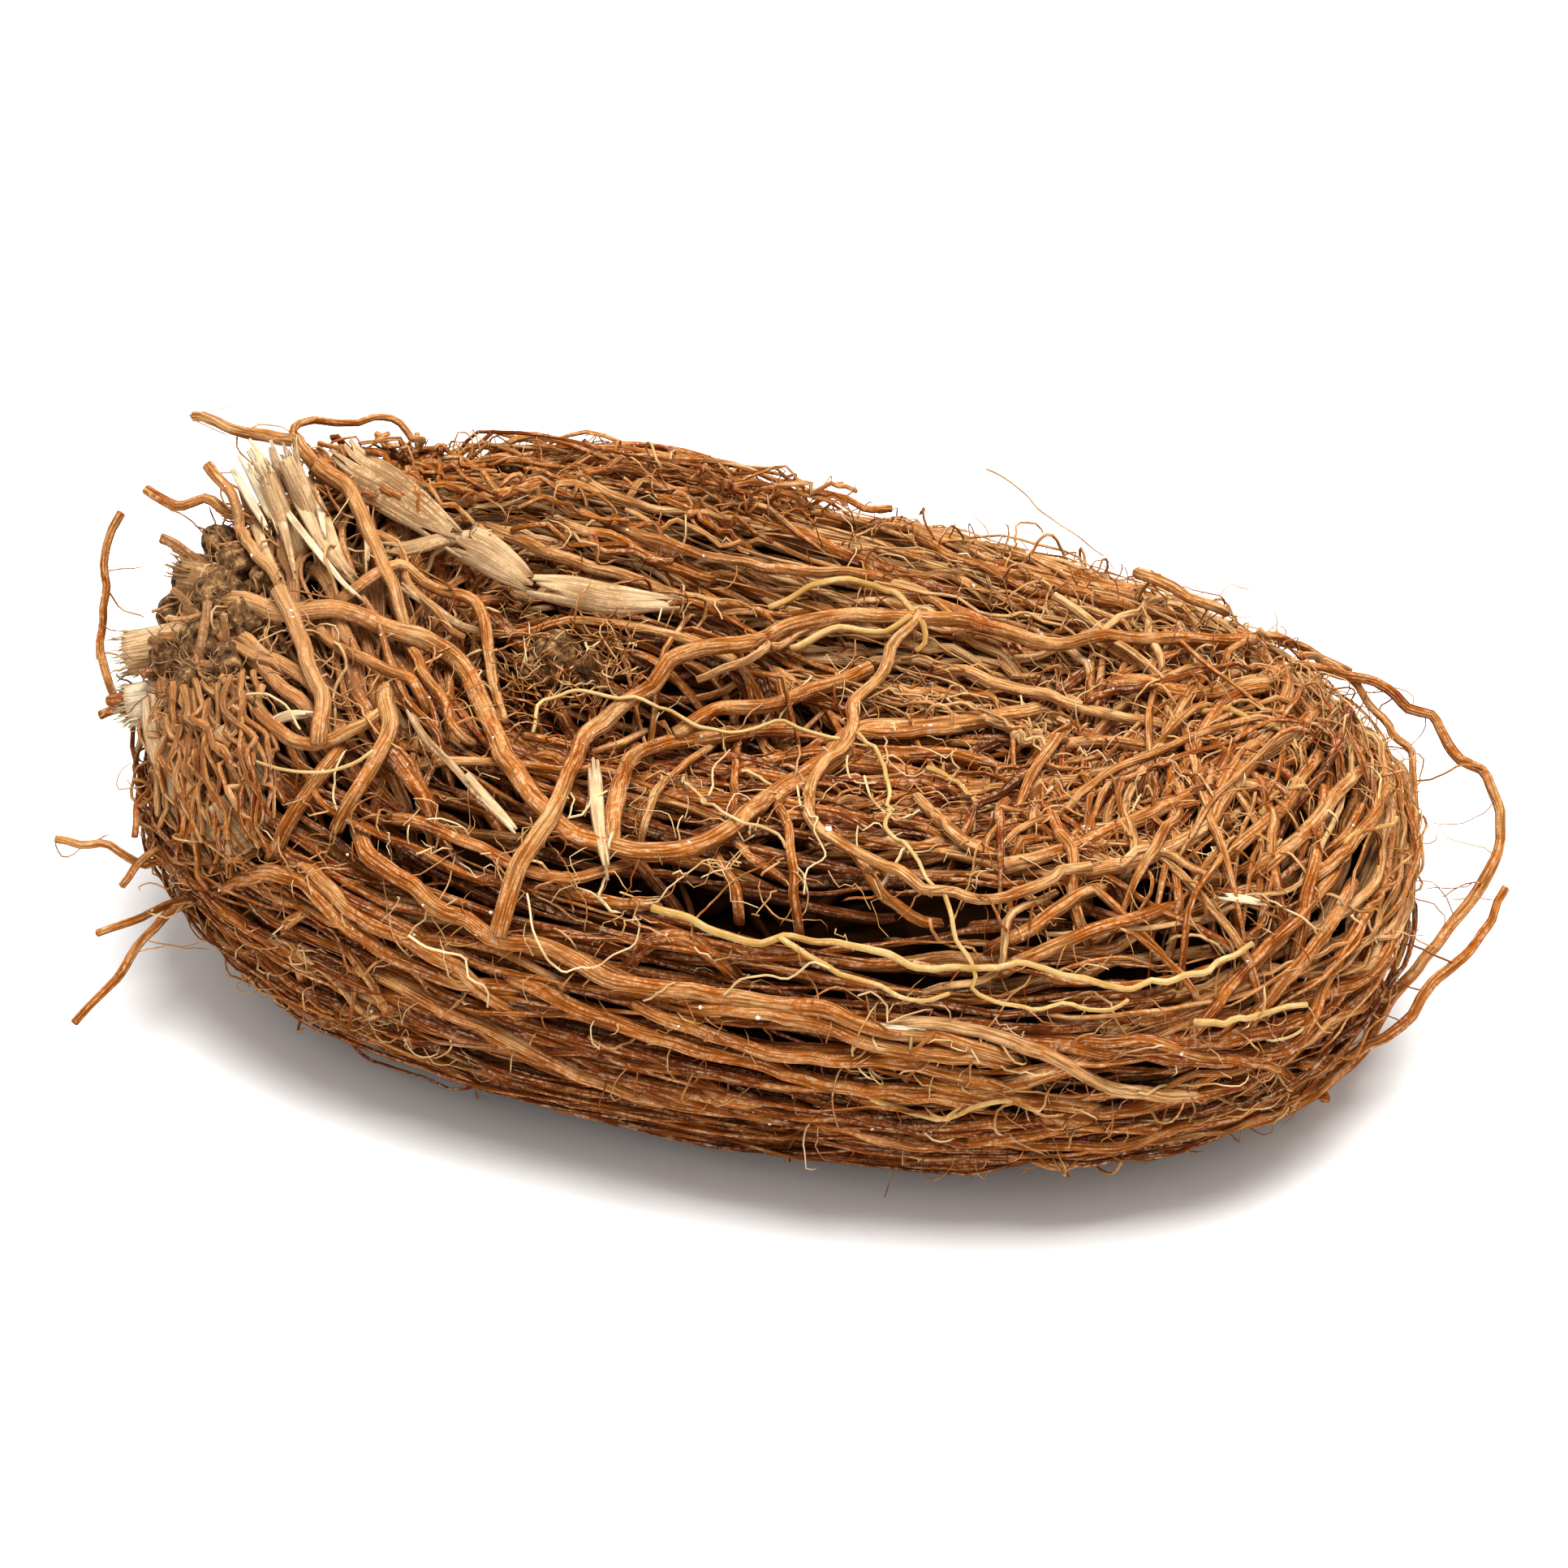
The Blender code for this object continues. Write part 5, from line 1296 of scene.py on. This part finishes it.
# Leaf sheaths and splinters
# Dry leaf bases still hold to the crown: papery strips of straw with parallel veins, torn along the
# veins at their ends. A row is the width, the curl across, the lift, the number of torn fingers, the
# longest tear, the shade and the route. The first five stand for pieces of the frame.
SHEATH_THICKNESS = 0.3
VEIN_SPACING = 0.45
VEIN_HEIGHT = 0.06
FINGER_TAPER = 0.45
FINGER_LEAN = 0.22
SHEATH_STEP = 1.0 * MM
SHEATHS = [
    ("sheath_fibrous", 6, 0.7, 3.6, 6, 6, 0.3, [(40.5, 55.8, 60), (43, 57.6, 60), (47.5, 60.2),
        (51, 62.6), (56.5, 66.6)]),
    ("sheath_strip", 1.7, 0.2, 3, 3, 2, 0.46, [(47.5, 67.4), (50, 67.6), (55, 66.4), (60.5, 65.6)]),
    ("sheath_oval", 5, 0.6, 3.2, 3, 2, 0.42, [(56, 66.4), (59, 67.6), (62, 69.6), (65.6, 72)]),
    ("sheath_pointed", 4, 0.6, 2.8, 3, 6, 0.46, [(64.8, 72), (70, 72.8), (76, 73.9), (83, 74.2)]),
    ("sheath_front", 2.2, 0.4, 1.6, 4, 3, 0.5, [(20.2, 84.9, 29), (19.8, 91, 27), (20.6, 96.9, 24),
        (22.6, 101.5, 21)]),
    ("leaf_base_1", 7.4, 1.6, 0.6, 5, 4, 0.5, [(20.6, 85.6, 29), (20.8, 89, 27.5), (22.6, 94, 25),
        (26, 99.6, 22.5), (31, 105.6, 20)]),
    ("leaf_base_2", 4.4, 1, 1, 5, 3, 0.7, [(25.4, 87.2), (27.4, 92), (29.8, 96.6), (32.6, 101)]),
    ("splinter_1", 1.2, 0.2, 3, 2, 2, 0.4, [(32.8, 58), (34.2, 62), (35.2, 66), (36.4, 71)]),
    ("splinter_2", 1.6, 0.3, 3.4, 3, 3, 0.58, [(35, 58.2), (37.6, 63), (40, 67.5), (43.2, 71.2)]),
    ("splinter_3", 0.9, 0.1, 3.8, 2, 2, 0.8, [(34.5, 62), (38, 66.5), (42, 71.5), (44, 73.4)]),
    ("splinter_4", 2.6, 0.5, 2.4, 4, 4, 0.5, [(37, 58.8), (39.6, 64.5), (41.5, 69), (43.8, 71.4)]),
    ("splinter_5", 1, 0.1, 4, 2, 2, 0.75, [(38.3, 59.3), (39.4, 62.6), (40, 66.2)]),
    ("splinter_6", 1.6, 0.3, 3, 3, 3, 0.78, [(30.2, 56.4), (32.2, 60.5), (34, 64.8)]),
    ("splinter_7", 1.9, 0.3, 3.4, 3, 3, 0.72, [(31, 55.2), (33.2, 58.8), (35.2, 62.6)]),
    ("splinter_8", 1.2, 0.2, 3.8, 2, 2, 0.66, [(33.2, 54.4), (34.2, 57.5), (35.8, 61)]),
    ("splinter_9", 1.1, 0.2, 2.4, 2, 2, 0.9, [(28.4, 57.4), (30.8, 61.5), (33.2, 65.6)]),
    ("splinter_10", 0.8, 0.1, 4, 2, 2, 0.95, [(35.3, 57), (37.2, 60), (39.7, 63.2)]),
    ("splinter_11", 1.3, 0.2, 2.8, 2, 2, 0.5, [(29.6, 60), (31.2, 64), (33, 68.6), (35, 72)]),
    ("splinter_12", 0.9, 0.1, 2.6, 2, 2, 0.66, [(45, 62), (45.3, 66), (45.2, 70.2)]),
    ("splinter_13", 1.7, 0.3, 2.6, 3, 5, 0.5, [(73.2, 94), (73.4, 98), (74, 103), (74.8, 107.5)]),
    ("splinter_14", 1.2, 0.2, 2, 3, 2.5, 0.85, [(33, 89.2), (35.5, 88.2), (38.6, 88)]),
    ("splinter_15", 2, 0.3, 1, 2, 1.5, 0.5, [(20.1, 83.3), (18.8, 87.5), (17.3, 91.8)]),
    ("splinter_16", 1.2, 0.2, 2, 2, 2, 0.3, [(48.8, 71.8), (52.5, 74.2), (57, 77.2), (62, 78)]),
    ("splinter_17", 1, 0.2, 2, 2, 2, 0.2, [(50, 87), (52.4, 91), (56.2, 94.8), (60, 99.6)]),
    ("splinter_18", 1.3, 0.2, 2, 3, 3, 0.6, [(57.4, 95.6), (60, 98.6), (63.6, 102.4)]),
    ("splinter_19", 1, 0.1, 1.8, 2, 1, 0.95, [(104.8, 126), (108.6, 126.6), (112.4, 126.8)]),
    ("splinter_20", 1, 0.1, 2, 2, 1, 0.9, [(150.6, 110.4), (153.4, 110.8), (156, 111.4)]),
]


def leaf_strip(draw, width, curl, lift, fingers, tear, shade, places):
    """A strip bent along its route and across, torn into fingers at both ends."""
    route = laid_route(places, lift, SHEATH_STEP)
    last = len(route) - 1
    length = np.linalg.norm(np.diff(route, axis=0), axis=1).sum() / MM
    columns = max(2, round(width / VEIN_SPACING / fingers)) * fingers
    tears = draw.uniform(0.2, 1, (2, fingers + 1)) * tear
    leans = draw.normal(0, 1, (2, fingers, 2))
    cage = bmesh.new()
    bmesh.ops.create_grid(cage, x_segments=last, y_segments=columns, size=0.5)
    torn = []
    for edge in cage.edges:
        first, second = edge.verts
        column = round((first.co.y + 0.5) * columns)
        gap = column * fingers // columns
        if first.co.y == second.co.y and 0 < column < columns and gap * columns == column * fingers:
            share = (first.co.x + second.co.x) / 2 + 0.5
            if share * length < tears[0, gap] or (1 - share) * length < tears[1, gap]:
                torn.append(edge)
    bmesh.ops.split_edges(cage, edges=torn)
    grain_layer = cage.verts.layers.float_vector.new("grain")
    shade_layer = cage.verts.layers.float.new("shade")
    cage.verts.layers.float.new("near_crown")
    cage.verts.layers.float.new("depth")
    sides = {
        vertex: sum(face.calc_center_median().y for face in vertex.link_faces) / len(vertex.link_faces)
        for vertex in cage.verts
    }
    origin = Vector(draw.uniform(0, GRAIN_OFFSETS, 3))
    for vertex, side_share in sides.items():
        share = vertex.co.x + 0.5
        off = 2 * vertex.co.y
        index = round(share * last)
        finger = min(fingers - 1, int((side_share + 0.5) * fingers))
        along = Vector(route[min(index + 1, last)] - route[max(index - 1, 0)]).normalized()
        side = along.cross(Vector(TO_EYE)).normalized()
        outward = side.cross(along)
        half = width / 2 * (0.85 + 0.15 * math.sin(math.pi * share)) * (1 - 0.5 * share**3)
        end = 0 if share < 0.5 else 1
        from_end = (share if end == 0 else 1 - share) * length
        loose = max(0, 1 - from_end / max(tear, 0.1))
        lean, bend = leans[end, finger]
        middle = (finger + 0.5) / fingers * 2 - 1
        off += (middle - off) * FINGER_TAPER * loose + lean * FINGER_LEAN * loose**2
        veins = VEIN_HEIGHT * math.cos(math.pi * vertex.co.y * columns)
        height = -curl * off**2 - bend * 0.5 * loose**2 + veins
        stretch = lean * 0.8 * loose**2 * (1 if end else -1)
        vertex[grain_layer] = origin + Vector((width * vertex.co.y, 0, share * length))
        vertex[shade_layer] = shade
        vertex.co = Vector(route[index]) + (side * half * off + outward * height + along * stretch) * MM
    return cage


sheath_straw = bark_material(
    "dry_leaf_sheath", [CULM_BROWN, CULM_STRAW, CULM_PALE, CULM_CREAM], 0.3, 0.15 * MM
)
for name, *row in SHEATHS:
    nodes = [name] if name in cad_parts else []
    strip = mesh_from(leaf_strip(draw, *row), name)
    piece = finish_piece(name, strip, sheath_straw, nodes)
    wall = piece.modifiers.new("Wall", "SOLIDIFY")
    wall.thickness = SHEATH_THICKNESS * MM
    wall.offset = 0

# Young roots
# The last roots to grow are smooth, thin and pale yellow, without bark, and lie loose over the others.
# Finer ones are cream threads. A row is the diameters, the lift, the shade and the route. The first three
# stand for pieces of the frame.
YOUNG_OCHRE = "88602C"
YOUNG_YELLOW = "AD8443"
YOUNG_PALE = "C6A86E"
YOUNG_STEP = 1.1 * MM
THREAD_STEP = 0.9 * MM
YOUNG_ROOTS = [
    ("young_root_1", 1.1, 0.8, 2.4, 0.55, [(80.6, 111.8), (85.4, 113.1), (89.9, 115.2), (94.3, 116.1),
        (97, 115.2), (100, 115.7), (104, 116), (108, 117), (112, 118.5), (116, 119.5), (120, 119.3),
        (126.4, 119), (131.4, 120.1), (135.5, 121.6), (139.5, 122), (141.9, 120.9), (146, 120.6),
        (148.6, 119.6), (151, 118), (154.2, 116.1)]),
    ("young_root_2", 1.1, 0.9, 3.4, 0.45, [(94.6, 74.8), (98.4, 73.4), (100.9, 71.8), (104.1, 71.2),
        (107.3, 71.6), (109.9, 72.9), (112.4, 74.8), (114, 77), (114.3, 79), (113.1, 80.4)]),
    ("young_root_3", 1, 0.8, 1.8, 0.6, [(147, 125.4), (151, 126.7), (152.7, 125.7), (155.6, 125.1),
        (160.4, 123.9)]),
    ("young_root_4", 1.2, 1, 3.4, 0.5, [(97.8, 79.8), (100.9, 78.6), (103.8, 77.4), (107, 77.8),
        (109.2, 78), (112.1, 76.1)]),
    ("young_root_5", 0.9, 0.6, 2.2, 0.5, [(96.4, 115.6), (99, 117.6), (102, 119), (103.5, 120),
        (106, 120.8), (108.5, 121.5), (110, 122.3), (113, 122.9), (117, 122)]),
    ("young_root_6", 0.6, 0.6, 4.4, 0.75, [(65.5, 90), (66.5, 87.5), (69, 86), (72, 85.5), (75, 85.7),
        (78, 86), (80, 86.7), (82.5, 88), (85, 89), (87, 89.8), (90, 90.3), (92.5, 89.8), (95, 89),
        (97, 89.3), (99, 90), (101.5, 90.7), (104, 91)]),
    ("young_root_7", 0.7, 0.6, 3.6, 0.6, [(105.5, 90.5), (107, 91.5), (108.5, 94), (109.8, 96.5),
        (109.7, 99), (109.2, 101), (110, 102.5), (111.5, 104), (113, 106), (114, 107.8), (115.5, 109)]),
    ("young_root_8", 0.7, 0.6, 3, 0.5, [(116.3, 110), (117, 113), (118, 115.5), (119.5, 118),
        (120.3, 120), (120, 121.5), (121, 122.5), (124, 123.5), (127.5, 124.3), (130, 123.8),
        (133, 124.3), (136.5, 124.3), (138.5, 123)]),
    ("young_root_9", 0.9, 0.7, 1.6, 0.5, [(106.5, 134.5), (109, 135.8), (112, 137), (115, 137.3),
        (118, 136.8), (120, 136), (125, 135.5)]),
    ("young_root_10", 1, 0.8, 2.6, 0.4, [(148, 87.5), (151, 87.8), (154, 88.7), (157, 89.5), (159, 90.8),
        (159.5, 91.8)]),
    ("young_root_11", 0.9, 0.7, 2, 0.45, [(155, 100), (156.5, 98.5), (158, 97.5), (160.5, 97)]),
    ("young_root_12", 0.9, 0.7, 2, 0.45, [(166, 104), (168, 102.5), (170, 101.5), (171.8, 101)]),
    ("young_root_13", 0.9, 0.7, 2.6, 0.5, [(113.8, 94.6), (116, 95.2), (118, 96.5), (120.5, 98.5),
        (123.5, 100)]),
    ("young_root_14", 0.6, 0.5, 3, 0.8, [(20.4, 92.7), (21.4, 89.9), (23.9, 90.6), (29.5, 93.2),
        (34, 94.7), (39.1, 95.1), (43.6, 94.3), (46.2, 92.7)]),
]
THREADS = [
    (0.36, 0.3, 2.6, 0.85, [(65, 110.5), (65.9, 114.4), (67.2, 117.2), (68.5, 119.2), (69.9, 120.1),
        (71.7, 119.3), (74.2, 118.7), (76.5, 116.9), (78.7, 115.2), (79.2, 113.7), (78.5, 112.8)]),
    (0.4, 0.3, 2.4, 0.85, [(89.2, 122.2), (91.1, 120.8), (94, 120.3), (97.8, 120), (100, 119),
        (102.5, 119.6)]),
    (0.4, 0.3, 2.4, 0.8, [(50, 114.4), (52.6, 116), (54.8, 117.1), (57.3, 118.5), (57.7, 120.4),
        (59.6, 121.6), (60.2, 122.7), (60, 124.1)]),
    (0.5, 0.4, 3, 0.9, [(27.5, 86.5), (31.1, 85), (33.8, 85.8), (36, 87.8), (37.1, 89.8)]),
    (0.4, 0.3, 1, 0.8, [(166.8, 113), (168.7, 114.4, 18), (170.3, 117.9, 16), (172.5, 119, 15)]),
    (0.3, 0.2, 0, 0.5, [(121.4, 57.6, 54), (124, 59, 52), (127, 61.2, 51), (130, 64, 48), (133, 66.5, 46),
        (135.5, 69, 44)]),
    (0.6, 0.4, 3.6, 0.75, [(84, 95.5), (85.5, 97.5), (87, 99), (88.5, 100.2), (90, 100.8), (92, 101.7),
        (94, 102.5), (95.5, 103.5), (96.2, 105)]),
    (0.4, 0.3, 3.6, 0.75, [(104.6, 93), (104.2, 95.5), (105.5, 96.4), (108, 96.6)]),
    (0.4, 0.3, 3.6, 0.75, [(87, 99), (87.3, 96.5), (88, 94.5), (89.5, 92.5)]),
    (0.4, 0.3, 3.6, 0.75, [(96.4, 88.6), (97.2, 86.6), (98.6, 84.4), (99.8, 82.6)]),
    (0.4, 0.3, 3.4, 0.8, [(98.2, 96.6), (98.8, 99.4), (100.2, 101.4), (100.6, 104), (101.4, 106),
        (99.8, 107.6), (99, 110)]),
    (0.4, 0.3, 3.4, 0.9, [(106.8, 95.6), (107.6, 98.4), (109.6, 100.4), (112, 100.8), (113.2, 99.6)]),
]

young_skin = bark_material("young_root_skin", [YOUNG_OCHRE, YOUNG_YELLOW, YOUNG_PALE], 0.12, 0.06 * MM)
for name, *row in YOUNG_ROOTS:
    nodes = [name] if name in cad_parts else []
    root_piece(
        draw, name, [loose_root(draw, row, YOUNG_STEP)], 2, 0.05, young_skin, nodes
    )
threads = [loose_root(draw, row, THREAD_STEP) for row in THREADS]
root_piece(draw, "cream_threads", threads, 1, 0.08, rootlet_skin)

# Lace of thin roots
# Thin wavy orange roots run down over the left end from the crown, in front of the culm's joints, and
# others stand up in loops from the strand's back corner. Cream threads curl loose over the middle. A row
# is the number, where they start across and down the drawing, how far they go, and their lifts.
LACES = [
    (84, (19.5, 31.0), (83.0, 93.0), (-1.5, 5.0), (8.0, 18.0), (1.0, 5.2)),
    (46, (38.5, 52.0), (53.6, 59.0), (3.0, 13.0), (1.0, 7.5), (0.4, 4.0)),
    (30, (58.0, 96.0), (58.0, 66.0), (6.0, 16.0), (0.0, 5.0), (0.2, 2.0)),
]
LOOSE_THREADS = [
    (40, (80.0, 116.0), (86.0, 110.0), (-8.0, 8.0), (-7.0, 7.0), (1.6, 4.2)),
    (22, (48.0, 78.0), (94.0, 114.0), (-7.0, 7.0), (-4.0, 7.0), (1.0, 3.2)),
    (22, (116.0, 152.0), (82.0, 112.0), (-7.0, 7.0), (-6.0, 6.0), (1.2, 3.0)),
    (20, (40.0, 134.0), (114.0, 132.0), (-8.0, 8.0), (-3.0, 3.0), (0.6, 2.0)),
    (16, (56.0, 130.0), (62.0, 80.0), (-8.0, 8.0), (-3.0, 3.0), (0.6, 2.4)),
]
LACE_STEP = 1.2 * MM
SWAY_POINTS = 7
SWAY = 0.7
STEADY_REACH = 8.0


def lace_root(draw, sizes, shades, across, down, way_across, way_down, lifts):
    """A thin wavy root that starts and ends somewhere within those ranges on the drawing."""
    start = np.array([draw.uniform(*across), draw.uniform(*down)])
    reach = np.array([draw.uniform(*way_across), draw.uniform(*way_down)])
    swaying = draw.normal(0, SWAY, (SWAY_POINTS, 2)) * min(1, np.hypot(*reach) / STEADY_REACH)
    places = start + reach * np.linspace(0, 1, SWAY_POINTS)[:, None] + swaying
    size = draw.uniform(*sizes)
    row = (size, size * 0.7, draw.uniform(*lifts), draw.uniform(*shades) - LAID_PALER, places)
    return loose_root(draw, row, LACE_STEP)


for name, rows, sizes, shades, round_steps, material in (
    ("lace_roots", LACES, (0.5, 1.5), (0.35, 0.75), 0, root_bark),
    ("loose_threads", LOOSE_THREADS, (0.2, 0.44), (0.6, 1.0), TRIANGLE, rootlet_skin),
):
    roots = [lace_root(draw, sizes, shades, *row) for number, *row in rows for _ in range(number)]
    root_piece(draw, name, roots, round_steps, 0.1, material)

# Mineral specks
# Grains of pale grit and flakes of pith from the ground that the roots grew in still cling to them. Each
# is a rough lump that touches the bark of a root near the surface.
GRAINS = 520
GRAIN_RADII = (0.08, 0.26)
LARGE_SHARE = 0.08
LARGE_TIMES = 1.7
GRIT_DEPTH = 1.5 * MM
GRIT_WHITE = "E6DBC8"
grit, tree, shader = new_material("pale_mineral_grit", 0.6, 0.5)
shader.inputs["Base Color"].default_value = linear(GRIT_WHITE)

carriers = strand["outer_roots"] + crossing_roots + laid_roots + stray_roots
points = np.concatenate([route[1:-1] for route, radii, shade in carriers])
widths = np.concatenate([radii[1:-1] for route, radii, shade in carriers])
near_surface = standing_out(points) > -GRIT_DEPTH
points = points[near_surface]
widths = widths[near_surface]
cage = bmesh.new()
for index in draw.randint(0, len(points), GRAINS):
    way = outward_ways(points[index]) + draw.normal(0, 0.5, 3)
    size = draw.uniform(*GRAIN_RADII) * MM * (LARGE_TIMES if draw.uniform() < LARGE_SHARE else 1)
    lump = bmesh.ops.create_icosphere(cage, subdivisions=1, radius=size)["verts"]
    for vertex in lump:
        vertex.co *= 1 + 0.9 * noise.noise(vertex.co / size * 1.3 + Vector((index, 0, 0)))
    place = points[index] + way / np.linalg.norm(way) * widths[index] * 0.95
    bmesh.ops.translate(cage, verts=lump, vec=Vector(place))
finish_piece("mineral_specks", mesh_from(cage, "mineral_specks"), grit)

bpy.data.objects.remove(triangle_guide)
